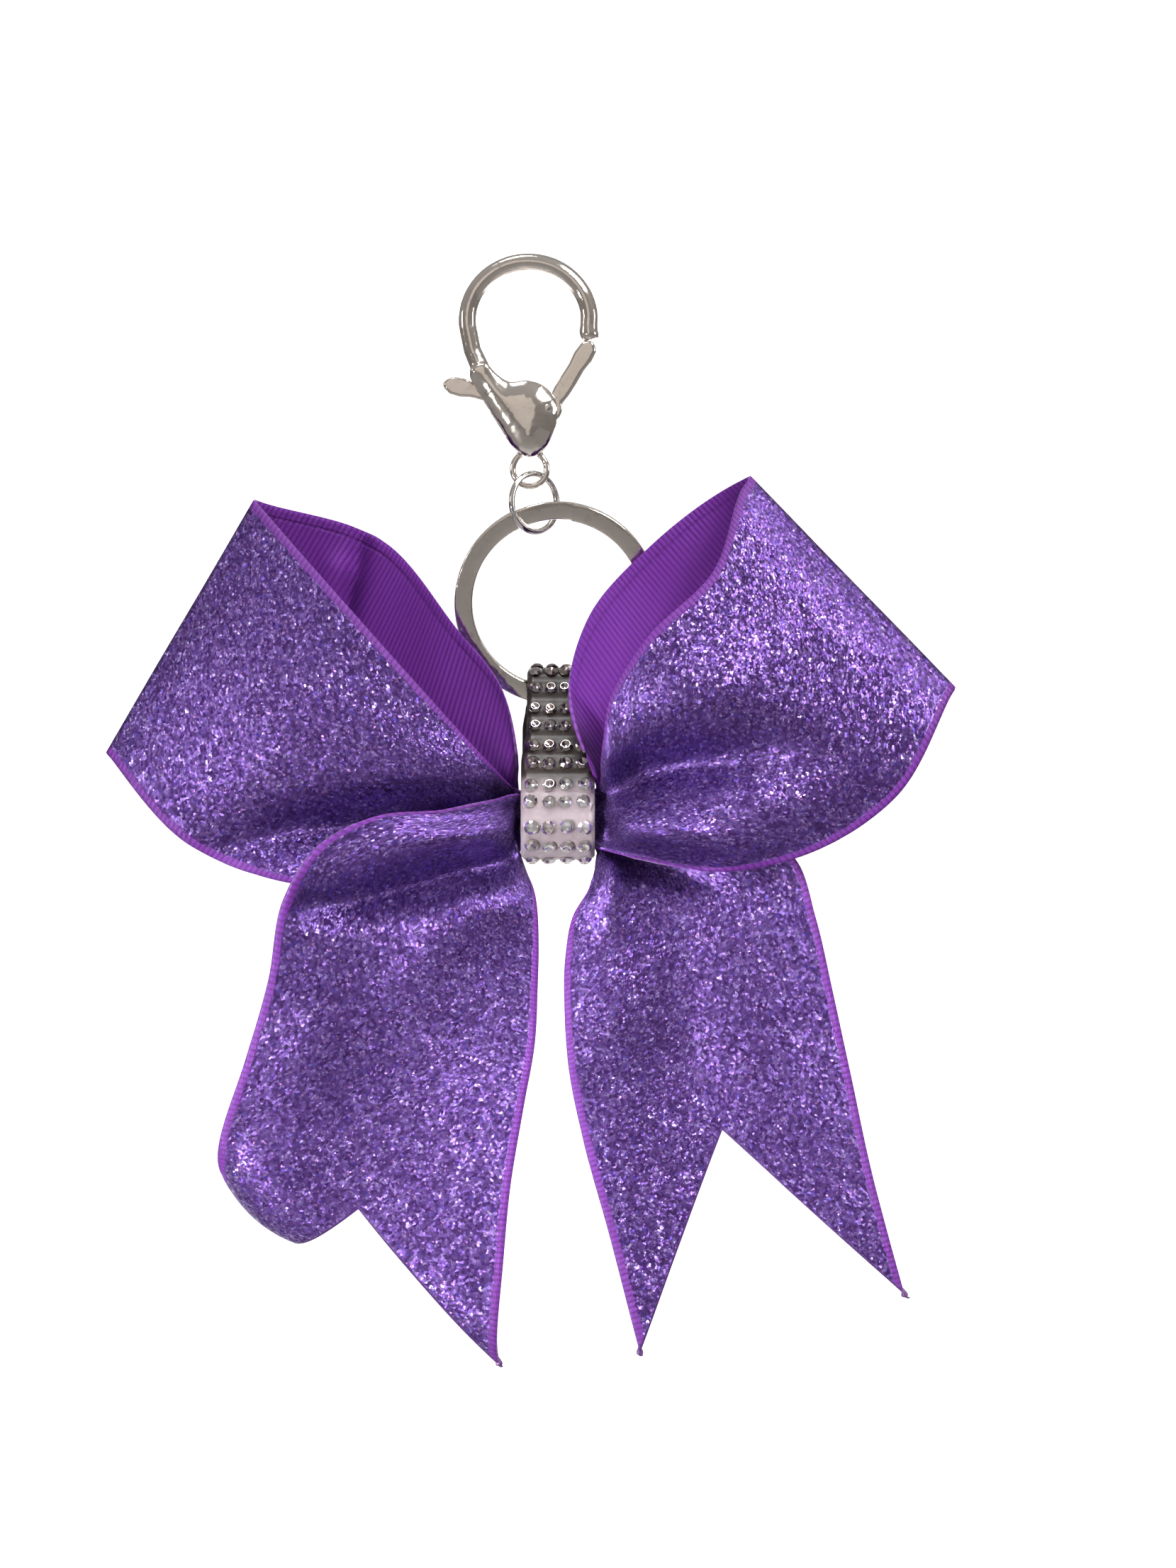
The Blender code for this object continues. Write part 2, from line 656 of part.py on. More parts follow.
def band_lap(finish, group):
    """The band's other end, lapped over the first at the back and glued there."""
    inner = 2 * GLUE_GAP + GLUE_THICKNESS
    return lap_strip("band_lap", inner, BAND_THICKNESS, BAND_WIDTH, finish, group)


def stone_row_shapes():
    """A row of flat-backed stones and the foil strip that joins them."""
    pieces = []
    shape = bmesh.new()
    length = STONE_PITCH * (STONES_ACROSS - 1) + STONE_RADIUS
    bmesh.ops.create_cube(shape, size=1.0, matrix=Matrix.Diagonal(
        (length, FOIL_WIDTH, FOIL_THICKNESS, 1.0)))
    bmesh.ops.translate(shape, verts=shape.verts, vec=(0.0, 0.0, FOIL_THICKNESS / 2))
    pieces.append(shape)
    for index in range(STONES_ACROSS):
        shape = bmesh.new()
        bmesh.ops.create_cone(
            shape, cap_ends=True, segments=STONE_SIDES, radius1=STONE_RADIUS,
            radius2=STONE_TABLE_RADIUS, depth=STONE_HEIGHT,
        )
        across = STONE_PITCH * (index - (STONES_ACROSS - 1) / 2)
        bmesh.ops.translate(shape, verts=shape.verts, vec=(across, 0.0, STONE_HEIGHT / 2 + 0.1 * MM))
        pieces.append(shape)
    return pieces


def stone_rows(finish, group, tools):
    solids = []
    for index, shape in enumerate(stone_row_shapes()):
        mesh = bpy.data.meshes.new(f"stone_shape_{index}")
        shape.to_mesh(mesh)
        shape.free()
        solids.append(helper(add(f"stone_shape_{index}", mesh, None, tools)))
    for other in solids[1:]:
        boolean(solids[0], other, "UNION")
    bpy.context.view_layer.update()
    graph = bpy.context.evaluated_depsgraph_get()
    mesh = bpy.data.meshes.new_from_object(solids[0].evaluated_get(graph))
    mesh.name = "stone_row"
    mesh.materials.clear()
    mesh.materials.append(finish)

    rows = []
    surface = BAND_THICKNESS
    lap_rise = 3 * GLUE_GAP + GLUE_THICKNESS + BAND_THICKNESS
    pitch = belt_length(surface) / ROW_COUNT
    for number in range(ROW_COUNT):
        distance = pitch * (number + 0.5)
        away = abs(distance - lap_middle())
        if LAP_LENGTH / 2 - FOIL_WIDTH < away < LAP_LENGTH / 2 + STONE_RADIUS:
            continue  # the step at the lap's end has no room for a row
        rise = lap_rise if away < LAP_LENGTH / 2 else GLUE_GAP
        place, normal = belt_point(distance, surface)
        place = place + normal * rise
        outward = Vector((0.0, normal.x, normal.y))
        right = Vector((1.0, 0.0, 0.0))
        along = outward.cross(right)
        row = bpy.data.objects.new(f"stone_row_{len(rows) + 1:02d}", mesh)
        group.objects.link(row)
        turn = Matrix((right, along, outward)).transposed().to_4x4()
        row.matrix_world = Matrix.Translation((KNOT.x, place.x, place.y)) @ turn
        rows.append(row)
    return rows


# ---------------------------------------------------------------- ribbon bow


def placed(point):
    """A station's point in the world: its span and height follow the bow's own sizes."""
    x, y, z = point
    if abs(x) > EDGE:
        x = math.copysign(EDGE + (abs(x) - EDGE) * (BOW_SPAN / MM) / DRAWN_SPAN, x)
    z *= (LOOP_RISE / MM) / DRAWN_RISE if z > 0 else (TAIL_DROP / MM) / DRAWN_DROP
    return KNOT + Vector((x, y, z)) * MM


def inside_tie(side, strand, half=BUNDLE_HALF_HEIGHT):
    """The two edges of a strand where it meets its other half in the middle of the tie."""
    x, y = side * GAP / 2, strand * BUNDLE_SPACING
    return [KNOT + Vector((x, y, z)) for z in (half, -half)]


def strip_rows(stations, start, end=None):
    """The two edges and the bow of the cloth at each cross line along a strip."""
    first = [start[0]] + [placed(station[0]) for station in stations]
    second = [start[1]] + [placed(station[1]) for station in stations]
    bows = [0.0] + [station[2] * MM for station in stations]
    if end:
        first.append(end[0])
        second.append(end[1])
        bows.append(0.0)
    first_edge = smooth_path(first, STEPS_PER_STATION)
    second_edge = smooth_path(second, STEPS_PER_STATION)
    stops = np.linspace(0, len(bows) - 1, len(first_edge))
    return first_edge, second_edge, np.interp(stops, range(len(bows)), bows)


def strip(name, rows, finish, group, notch=0.0, curl=False):
    """A strip of ribbon as a grid laid through the rows and given its thickness."""
    first_edge, second_edge, bows = rows
    shape = bmesh.new()
    bmesh.ops.create_grid(
        shape, x_segments=len(first_edge) - 1, y_segments=STEPS_ACROSS, size=1.0
    )
    lengths = [0.0]
    middles = [(a + b) / 2 for a, b in zip(first_edge, second_edge)]
    for here, there in zip(middles, middles[1:]):
        lengths.append(lengths[-1] + (there - here).length)
    for vert in shape.verts:
        along, across = (vert.co.x + 1) / 2, (vert.co.y + 1) / 2
        cut = notch * (1 - abs(2 * across - 1))
        reach = along * np.interp(lengths[-1] - cut, lengths, range(len(lengths)))
        index = min(int(reach), len(first_edge) - 2)
        share = reach - index
        a = first_edge[index].lerp(first_edge[index + 1], share)
        b = second_edge[index].lerp(second_edge[index + 1], share)
        bow = bows[index] * (1 - share) + bows[index + 1] * share
        place = a.lerp(b, across) - Vector((0.0, bow * math.sin(math.pi * across), 0.0))
        vert.co = rolled(place) if curl else place
    mesh = bpy.data.meshes.new(name)
    shape.to_mesh(mesh)
    shape.free()
    obj = add(name, mesh, finish, group)
    thickness = obj.modifiers.new("cloth", "SOLIDIFY")
    thickness.thickness = RIBBON_THICKNESS
    thickness.offset = 0.0
    smooth(mesh)
    return obj


def rolled(place):
    """Rolls what lies past the curl's start backwards round a cylinder."""
    past = (place - KNOT).dot(CURL_DIRECTION) - CURL_START
    if past <= 0:
        return place
    angle = past / CURL_RADIUS
    flat_place = place - CURL_DIRECTION * past
    back = Vector((0.0, CURL_RADIUS * (1 - math.cos(angle)), 0.0))
    return flat_place + CURL_DIRECTION * CURL_RADIUS * math.sin(angle) + back


def ribbon(finish, group):
    """One length of ribbon in three strands through the tie: the front strand is the left tail and
    the right loop's front, the middle one the left loop's front and the right tail, and the back
    one joins the backs of the two loops."""
    front, middle, back = -1, 0, 1
    wide = BUNDLE_HALF_HEIGHT + 0.4 * MM
    left_loop = strip_rows(LEFT_LOOP, inside_tie(-1, back), inside_tie(-1, middle, wide))
    right_loop = strip_rows(RIGHT_LOOP, inside_tie(1, back), inside_tie(1, front))
    left_tail = strip_rows(LEFT_TAIL, inside_tie(-1, front))
    right_tail = strip_rows(RIGHT_TAIL, inside_tie(1, middle, wide))
    return [
        strip("ribbon_left_loop", left_loop, finish, group),
        strip("ribbon_right_loop", right_loop, finish, group),
        strip("ribbon_left_tail", left_tail, finish, group, LEFT_NOTCH, curl=True),
        strip("ribbon_right_tail", right_tail, finish, group, RIGHT_NOTCH),
    ]


def knot_tie(finish, group):
    """The tie drawn round the pleated strands, under the band."""
    rings = [
        [KNOT.yz + turned(Vector((radius, 0.0)), angle)
         for angle in np.linspace(0, 2 * math.pi, 28, endpoint=False)]
        for radius in (TIE_RADIUS + TIE_THICKNESS, TIE_RADIUS)
    ]
    return sideways_plate("knot_tie", rings, TIE_WIDTH, finish, group)


def main():
    clear_scene()
    parts = collection("cheer_bow_charm")
    tools = collection("cutters")
    nickel = material("nickel_plate", (0.78, 0.76, 0.72), 0.18, 1.0)
    steel = material("ring_steel", (0.74, 0.74, 0.73), 0.22, 1.0)
    glitter = material("glitter_ribbon", (0.20, 0.12, 0.50), 0.45)
    silicone = material("band_silicone", (0.42, 0.41, 0.46), 0.35)
    crystal = material("crystal", (0.90, 0.90, 0.93), 0.05)
    thread = material("tie_thread", (0.22, 0.05, 0.42), 0.8)
    glue = material("clear_glue", (0.85, 0.84, 0.80), 0.3)

    clasp_body(nickel, parts, tools)
    clasp_pin(steel, parts)
    clasp_spring(steel, parts)
    lever_joint = joint_empty("lever_joint", PIVOT, parts)
    parent_keeping_place(clasp_lever(nickel, parts, tools), lever_joint)

    eye_joint = joint_empty("eye_joint", EYE_CENTRE - Vector((0.0, 0.0, JUMP_DROP)), parts)
    parent_keeping_place(jump_ring(steel, parts), eye_joint)
    ring_top = Vector((JUMP_CENTRE.x, 0.0, RING_TOP_Z))
    ring_joint = joint_empty("ring_joint", ring_top, parts, eye_joint)
    parent_keeping_place(split_ring(nickel, parts, tools), ring_joint)

    band_joint = joint_empty("band_joint", RING_FOOT, parts, ring_joint)
    bow = ribbon(glitter, parts)
    bow.append(knot_tie(thread, parts))
    bow.append(band_base(silicone, parts))
    bow.append(glue_film(glue, parts))
    bow.append(band_lap(silicone, parts))
    bow.extend(stone_rows(crystal, parts, tools))
    for piece in bow:
        parent_keeping_place(piece, band_joint)


main()
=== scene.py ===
import math
import random

import bmesh
import bpy
import numpy as np
from mathutils import Matrix, Vector


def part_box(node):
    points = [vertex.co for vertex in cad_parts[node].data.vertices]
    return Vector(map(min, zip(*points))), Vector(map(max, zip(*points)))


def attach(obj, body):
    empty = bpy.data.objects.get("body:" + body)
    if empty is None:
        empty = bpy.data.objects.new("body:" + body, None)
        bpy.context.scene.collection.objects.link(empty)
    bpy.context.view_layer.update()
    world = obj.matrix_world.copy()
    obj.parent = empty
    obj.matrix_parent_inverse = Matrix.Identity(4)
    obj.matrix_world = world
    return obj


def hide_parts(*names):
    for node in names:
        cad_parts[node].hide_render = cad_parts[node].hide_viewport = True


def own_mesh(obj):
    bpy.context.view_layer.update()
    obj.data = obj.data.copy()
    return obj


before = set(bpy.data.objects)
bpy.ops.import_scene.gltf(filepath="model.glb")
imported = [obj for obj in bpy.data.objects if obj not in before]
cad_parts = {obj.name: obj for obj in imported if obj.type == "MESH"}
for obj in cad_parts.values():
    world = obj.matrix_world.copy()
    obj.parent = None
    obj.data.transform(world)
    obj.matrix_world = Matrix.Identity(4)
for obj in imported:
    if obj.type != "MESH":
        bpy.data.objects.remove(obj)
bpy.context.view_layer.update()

MM = 0.001
SEED = 11
chance = random.Random(SEED)


def middle(node):
    low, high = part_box(node)
    return (low + high) / 2


def linked(name, data):
    """A new object that holds the data, in the scene."""
    made = bpy.data.objects.new(name, data)
    bpy.context.scene.collection.objects.link(made)
    return made


KNOT = middle("knot_tie")
PIVOT = middle("clasp_pin")
KEY_RING_CENTRE = middle("split_ring")
JUMP_CENTRE = middle("jump_ring")

# -------- camera and studio

FRAME_HEIGHT = 208.6 * MM  # of what the camera sees, at the bow
LENS = 85.0
FILM = 36.0
NEAREST, FURTHEST = 0.02, 20.0
AIM = Vector((7.3, -4.0, -68.8)) * MM

camera_data = bpy.data.cameras.new("camera")
camera_data.lens = LENS
camera_data.sensor_width = FILM
camera = linked("camera", camera_data)
camera.location = AIM - Vector((0.0, FRAME_HEIGHT * LENS / FILM, 0.0))
camera.rotation_euler = (math.pi / 2, 0.0, 0.0)
camera_data.clip_start, camera_data.clip_end = NEAREST, FURTHEST
bpy.context.scene.camera = camera
bpy.context.scene.view_settings.view_transform = "Standard"


# -------- finishes


class Value:
    """A number or colour that varies over a surface. Sums on it add Math nodes."""

    def __init__(self, finish, socket):
        self.finish, self.socket = finish, socket

    def maths(self, operation, *terms):
        made = self.finish.tree.nodes.new("ShaderNodeMath")
        made.operation = operation
        for place, term in zip(made.inputs, terms):
            self.finish.feed(place, term)
        return Value(self.finish, made.outputs[0])

    def __add__(self, other):
        return self.maths("ADD", self, other)

    __radd__ = __add__

    def __sub__(self, other):
        return self.maths("SUBTRACT", self, other)

    def __rsub__(self, other):
        return self.maths("SUBTRACT", other, self)

    def __mul__(self, other):
        return self.maths("MULTIPLY", self, other)

    __rmul__ = __mul__

    def __pow__(self, other):
        return self.maths("POWER", self, other)

    def sine(self):
        return self.maths("SINE", self)

    def size(self):
        return self.maths("ABSOLUTE", self)

    def least(self, other):
        return self.maths("MINIMUM", self, other)

    def most(self, other):
        return self.maths("MAXIMUM", self, other)

    def fade(self, start, end, low=0.0, high=1.0):
        """Low before start and high after end, with an even slope between them."""
        return self.finish.node(
            "ShaderNodeMapRange", {"interpolation_type": "SMOOTHSTEP"},
            {"Value": self, "From Min": start, "From Max": end, "To Min": low,
             "To Max": high},
        )


class Nodes:
    """A tree of nodes, with a short way to add each kind that is used here."""

    def __init__(self, tree):
        self.tree = tree

    def feed(self, place, value):
        if isinstance(value, Value):
            self.tree.links.new(value.socket, place)
        elif isinstance(value, tuple) and len(value) == 3 and len(place.default_value) == 4:
            place.default_value = (*value, 1.0)
        else:
            place.default_value = value

    def node(self, kind, settings=None, sockets=None, out=0):
        """Any node: its type, its settings, the values or links of its sockets, and the output."""
        made = self.tree.nodes.new(kind)
        for name, value in (settings or {}).items():
            if name == "stops":
                ramp = made.color_ramp
                while len(ramp.elements) < len(value):
                    ramp.elements.new(0.5)
                for element, (place, colour) in zip(ramp.elements, value):
                    element.position, element.color = place, (*colour, 1.0)
            else:
                setattr(made, name, value)
        for name, value in (sockets or {}).items():
            self.feed(made.inputs[name], value)
        return Value(self, made.outputs[out])

    def mix(self, share, one, other):
        made = self.tree.nodes.new("ShaderNodeMix")
        made.data_type = "RGBA"
        self.feed(made.inputs[0], share)
        self.feed(made.inputs[6], one)
        self.feed(made.inputs[7], other)
        return Value(self, made.outputs[2])

    def ramp(self, value, *stops):
        return self.node("ShaderNodeValToRGB", {"stops": stops}, {"Fac": value})

    def place(self):
        return self.node("ShaderNodeTexCoord", out="Object")

    def noise(self, scale, detail=2.0, where=None, roughness=0.5):
        return self.node(
            "ShaderNodeTexNoise", {},
            {"Vector": where or self.place(), "Scale": scale, "Detail": detail,
             "Roughness": roughness},
        )

    def split(self, vector):
        made = self.tree.nodes.new("ShaderNodeSeparateXYZ")
        self.feed(made.inputs[0], vector)
        return [Value(self, socket) for socket in made.outputs]

    def vector(self, operation, one, other=None):
        made = self.tree.nodes.new("ShaderNodeVectorMath")
        made.operation = operation
        self.feed(made.inputs[0], one)
        if operation == "SCALE":
            self.feed(made.inputs[3], other)
        elif other is not None:
            self.feed(made.inputs[1], other)
        return Value(self, made.outputs[0])

    def painted_shade_up_the_tab(self):
        """0 where the band covers the knot, 1 where it goes on up to the ring: the mask for the
        painted shade on the tab, which lies in shade between the loops.
        """
        _, _, z = self.split(self.place())
        return z.fade(KNOT.z + 4.6 * MM, KNOT.z + 6.2 * MM)

    def bump(self, height, distance, strength=1.0, normal=None):
        sockets = {"Height": height, "Distance": distance, "Strength": strength}
        if normal:
            sockets["Normal"] = normal
        return self.node("ShaderNodeBump", {}, sockets)


class Finish(Nodes):
    """One material, with the nodes that paint it."""

    def __init__(self, name, **settings):
        self.material = bpy.data.materials.new(name)
        self.material.use_nodes = True
        super().__init__(self.material.node_tree)
        self.paint(**settings)

    def paint(self, **sockets):
        places = self.tree.nodes["Principled BSDF"].inputs
        for name, value in sockets.items():
            self.feed(places[name.replace("_", " ")], value)


# The ribbon's own map and these sizes are in millimetres, along it and across it.
CLOTH = "cloth"
RIBBON_WIDTH = 38.0
RIB_PITCH, THREAD_PITCH = 0.72, 0.21
SELVAGE, SELVAGE_BLEND = 1.05, 0.12
COARSE_FLAKES, FINE_FLAKES = 2.7, 4.9  # flakes to a millimetre
STITCH_LINE = 1.55  # in from the edge


class Ribbon(Finish):
    """What the ribbon's faces share: a point's place on the cloth, its ribs and its edges."""

    def __init__(self, name, **settings):
        super().__init__(name, **settings)
        self.cloth = self.node("ShaderNodeUVMap", {"uv_map": CLOTH})
        self.along, self.across, _ = self.split(self.cloth)
        self.from_edge = self.across.least(RIBBON_WIDTH - self.across)
        from_cut = self.node("ShaderNodeAttribute", {"attribute_name": "from_cut"}, out="Fac")
        # the rib profile: it shapes the bumps, and it is also the mask for painted shade in the
        # grooves and painted light on the rib tops
        self.rib = (self.along * (math.pi / RIB_PITCH)).sine().size()
        self.thread = (self.across * (math.pi / THREAD_PITCH)).sine().size()
        self.sealed = from_cut.fade(0.15, 0.7, 1.0, 0.0)

    def selvage(self, wander):
        return (self.from_edge + wander).fade(
            SELVAGE - SELVAGE_BLEND, SELVAGE + SELVAGE_BLEND, 1.0, 0.0)

    def flakes(self, scale):
        return self.node(
            "ShaderNodeTexVoronoi", {"voronoi_dimensions": "2D"},
            {"Vector": self.cloth, "Scale": scale}, out="Color",
        )


def glitter_face():
    """Violet flakes glued on the face of the cloth, short of its two woven edges."""
    face = Ribbon("violet_glitter", Specular_IOR_Level=0.55, IOR=1.5)
    flakes = face.flakes(COARSE_FLAKES)
    hue, light, tilt = face.split(flakes)
    fine = face.flakes(FINE_FLAKES)
    fine_light, fine_hue, _ = face.split(fine)
    clumps = face.noise(0.55, 3.0, face.cloth)
    tone = light * 0.58 + fine_light * 0.42 + (clumps - 0.5) * 0.30
    colour = face.ramp(
        tone, (0.0, (0.028, 0.009, 0.080)), (0.30, (0.068, 0.026, 0.160)),
        (0.60, (0.120, 0.058, 0.265)), (0.82, (0.215, 0.130, 0.430)),
        (0.97, (0.560, 0.450, 0.860)),
    )
    colour = face.mix(fine_hue.fade(0.96, 0.99) * 0.5, colour, (0.55, 0.25, 0.52))
    colour = face.mix(hue.fade(0.965, 0.99) * 0.4, colour, (0.120, 0.090, 0.70))
    # painted shade and light: the woven edge is painted darker in the grooves between the ribs and
    # lighter on the rib tops
    weave_with_painted_rib_shade = face.mix(face.rib, (0.075, 0.006, 0.150), (0.175, 0.022, 0.330))
    edge = face.selvage((face.noise(1.4, 2.0, face.cloth) - 0.5) * 0.7)
    colour = face.mix(edge, colour, weave_with_painted_rib_shade)
    colour = face.mix(face.sealed, colour, (0.060, 0.008, 0.130))

    facing = face.node("ShaderNodeNewGeometry", out="Normal")
    lean = face.vector("SUBTRACT", flakes, (0.5, 0.5, 0.5))
    fine_lean = face.vector("SUBTRACT", fine, (0.5, 0.5, 0.5))
    both = face.vector(
        "ADD", face.vector("SCALE", lean, 0.46), face.vector("SCALE", fine_lean, 0.34))
    glued = 1.0 - edge.most(face.sealed)
    leaning = face.vector("ADD", facing, face.vector("SCALE", both, glued))
    leaning = face.vector("NORMALIZE", leaning)
    height = face.rib * (0.25 + edge * 0.75) + face.thread * edge * 0.4 + clumps * 0.8
    face.paint(
        Base_Color=colour,
        Metallic=glued * (0.62 + tilt * 0.3),
        Roughness=0.58 - glued * (0.10 + fine_light * 0.16),
        Normal=face.bump(height, 0.10 * MM, 0.55, leaning),
    )
    return face.material


def grosgrain_face():
    """The plain ribbed back of the cloth."""
    face = Ribbon(
        "purple_grosgrain", Sheen_Weight=0.08, Sheen_Roughness=0.4, Specular_IOR_Level=0.25)
    wobble = face.noise(0.30, 3.0, face.cloth)
    stitched = (face.from_edge - STITCH_LINE).size().fade(0.10, 0.28, 1.0, 0.0)
    gap = (face.along * (math.pi / (2 * RIB_PITCH))).sine().size()
    # painted shade and light: the grooves between the ribs are painted darker and the rib tops
    # lighter
    colour = face.mix(face.rib ** 0.7, (0.050, 0.004, 0.105), (0.165, 0.020, 0.330))
    colour = face.mix(face.thread * 0.20, colour, (0.24, 0.04, 0.44))
    colour = face.mix((wobble - 0.35) * 0.5, colour, (0.13, 0.014, 0.27))
    colour = face.mix(stitched * gap * 0.35, colour, (0.045, 0.004, 0.095))
    colour = face.mix(face.sealed, colour, (0.10, 0.02, 0.19))
    height = face.rib + face.thread * 0.22 - stitched * 0.6 + wobble * 0.3
    face.paint(
        Base_Color=colour,
        Roughness=0.62 - face.rib * 0.14 - face.sealed * 0.2,
        Normal=face.bump(height, 0.16 * MM, 0.8),
    )
    return face.material


def sealed_edge():
    """The cloth's edge: woven along the ribbon and melted smooth where it was cut."""
    edge = Ribbon("ribbon_edge", Sheen_Weight=0.2)
    bead = edge.noise(1.6, 2.0, edge.cloth)
    # painted shade and light: the woven edge is painted darker in the grooves between the ribs and
    # lighter on the rib tops
    woven = edge.mix(edge.rib, (0.095, 0.010, 0.175), (0.215, 0.040, 0.385))
    melted = edge.mix(bead.fade(0.35, 0.7), (0.14, 0.040, 0.25), (0.42, 0.28, 0.58))
    edge.paint(
        Base_Color=edge.mix(edge.sealed, woven, melted),
        Roughness=0.6 - edge.sealed * 0.25,
        Normal=edge.bump(edge.rib + bead * 0.5, 0.12 * MM, 0.6),
    )
    return edge.material


def polished_nickel(name, shade, wave, rub):
    """Cast or drawn metal under nickel: soft waves from polishing, hairlines and duller rubs."""
    metal = Finish(name, Metallic=1.0)
    waves = metal.noise(420.0, 2.0)
    rubs = metal.noise(900.0, 4.0, roughness=0.65)
    x, y, z = metal.split(metal.place())
    hair = metal.noise(
        1.0, 3.0, metal.node("ShaderNodeCombineXYZ", {}, {
            "X": x * 9000.0, "Y": y * 2500.0, "Z": (z + x * 0.35) * 700.0}),
    )
    worn = rubs.fade(0.52, 0.74)
    colour = metal.mix(worn * 0.6, shade, tuple(c * 0.72 for c in shade))
    colour = metal.mix((waves - 0.4).most(0.0) * 0.8, colour, (0.96, 0.92, 0.88))
    metal.paint(
        Base_Color=colour,
        Roughness=0.07 + worn * 0.14 * rub + hair * 0.07,
        Normal=metal.bump(waves + hair * 0.03 * rub, wave, 0.6),
    )
    return metal.material


def clear_silicone():
    """Clear silicone with a little grey in it. Up the tab, which lies in shade between the loops,
    it is painted near black: painted shade.
    """
    rubber = Finish("clear_grey_silicone", Transmission_Weight=0.08, IOR=1.41, Coat_Roughness=0.25)
    cloudy = rubber.noise(700.0, 4.0, roughness=0.6)
    dust = rubber.noise(2600.0, 2.0).fade(0.62, 0.75)
    wrap = rubber.mix(cloudy, (0.20, 0.15, 0.18), (0.46, 0.39, 0.42))
    # painted shade: the band going up the tab between the loops is painted near black
    dark = rubber.mix(cloudy, (0.012, 0.008, 0.006), (0.040, 0.026, 0.022))
    colour = rubber.mix(rubber.painted_shade_up_the_tab(), wrap, dark)
    rubber.paint(
        Base_Color=rubber.mix(dust * 0.15, colour, (0.55, 0.50, 0.52)),
        Roughness=0.30 + cloudy * 0.2,
        Coat_Weight=0.5 - dust * 0.4,
        Normal=rubber.bump(cloudy, 0.12 * MM, 0.5),
    )
    return rubber.material


def foiled_crystal():
    """Clear stones with foil backs and random smoky patches; up the tab they are darkened with
    painted shade, and pink patches are a painted reflection of the violet ribbon.
    """
    stone = Finish("foiled_crystal", Metallic=0.95, Coat_IOR=1.55, Coat_Roughness=0.02)
    smoke = stone.noise(650.0, 2.0)
    # the mask of the painted reflection: patches where the violet ribbon is painted as if reflected
    # in the stones
    glow = stone.noise(1500.0, 1.0)
    colour = stone.mix(smoke.fade(0.4, 0.65), (0.93, 0.92, 0.94), (0.62, 0.54, 0.53))
    # painted shade: stones up the tab, in shade between the loops, are mixed towards a dark brown
    colour = stone.mix(stone.painted_shade_up_the_tab() * 0.70, colour, (0.20, 0.15, 0.14))
    # painted reflection: Base_Color mixes in pink patches that stand in for the ribbon reflected in
    # the stones
    stone.paint(
        Base_Color=stone.mix(glow.fade(0.58, 0.72) * 0.5, colour, (0.80, 0.62, 0.74)),
        Roughness=0.05 + smoke * 0.06,
        Coat_Weight=0.8 + smoke * 0.2,
    )
    return stone.material


def wound_thread():
    thread = Finish("purple_thread", Sheen_Weight=0.4)
    ply_pitch = 0.16 * MM
    x, y, z = thread.split(thread.place())
    ply = ((x * 2.0 + y + z) * (math.pi / ply_pitch)).sine().size()
    thread.paint(
        Base_Color=thread.mix(ply, (0.06, 0.008, 0.13), (0.20, 0.04, 0.36)),
        Roughness=0.75 - ply * 0.1,
        Normal=thread.bump(ply, 0.03 * MM, 0.8),
    )
    return thread.material


def dried_glue():
    glue = Finish("dried_glue", Transmission_Weight=0.5, IOR=1.47)
    bubbles = glue.node(
        "ShaderNodeTexVoronoi", {}, {"Vector": glue.place(), "Scale": 1800.0}, out="Distance")
    glue.paint(
        Base_Color=glue.mix(bubbles.fade(0.1, 0.5), (0.85, 0.80, 0.66), (0.72, 0.68, 0.58)),
        Roughness=0.15 + bubbles * 0.3,
        Normal=glue.bump(bubbles, 0.03 * MM, 0.5),
    )
    return glue.material


def melted_cloth():
    """Ribbon that was melted and set again, darker and glossier than the cloth."""
    bead = Finish("melted_cloth", Coat_Roughness=0.1)
    run = bead.noise(1500.0, 3.0, roughness=0.6)
    bead.paint(
        Base_Color=bead.mix(run.fade(0.35, 0.65), (0.045, 0.008, 0.085), (0.19, 0.07, 0.28)),
        Roughness=0.28 + run * 0.25,
        Coat_Weight=0.3 + run * 0.3,
        Normal=bead.bump(run, 0.06 * MM, 0.6),
    )
    return bead.material


GLITTER = glitter_face()
GROSGRAIN = grosgrain_face()
EDGE_FINISH = sealed_edge()
NICKEL = polished_nickel("nickel_plate", (0.90, 0.83, 0.77), 0.16 * MM, 1.0)
RING_STEEL = polished_nickel("bright_steel", (0.78, 0.76, 0.74), 0.05 * MM, 1.4)
SILICONE = clear_silicone()
CRYSTAL = foiled_crystal()
THREAD = wound_thread()
MELTED = melted_cloth()
GLUE = dried_glue()


# -------- modelling


def nothing_selected():
    if bpy.context.object and bpy.context.object.mode != "OBJECT":
        bpy.ops.object.mode_set(mode="OBJECT")
    bpy.ops.object.select_all(action="DESELECT")


def take_up(piece):
    """Selects one piece, and nothing else, to be worked on."""
    nothing_selected()
    bpy.context.view_layer.objects.active = piece
    piece.select_set(True)


def settle_place():
    """Moves the active piece's place, turn and size into its mesh."""
    bpy.ops.object.transform_apply(location=True, rotation=True, scale=True)


def begin(name):
    """Takes up the primitive that was just added, fixes its place in its mesh and opens it."""
    piece = bpy.context.object
    piece.name = piece.data.name = name
    settle_place()
    bpy.ops.object.mode_set(mode="EDIT")
    return piece


def pick(piece, test, kind="faces"):
    """Selects the faces, edges or vertices that pass a test, and nothing else."""
    bpy.ops.mesh.select_all(action="DESELECT")
    bpy.ops.mesh.select_mode(type={"faces": "FACE", "edges": "EDGE", "verts": "VERT"}[kind])
    shape = bmesh.from_edit_mesh(piece.data)
    for item in getattr(shape, kind):
        if test(item):
            item.select_set(True)
    shape.select_flush(True)
    bmesh.update_edit_mesh(piece.data)


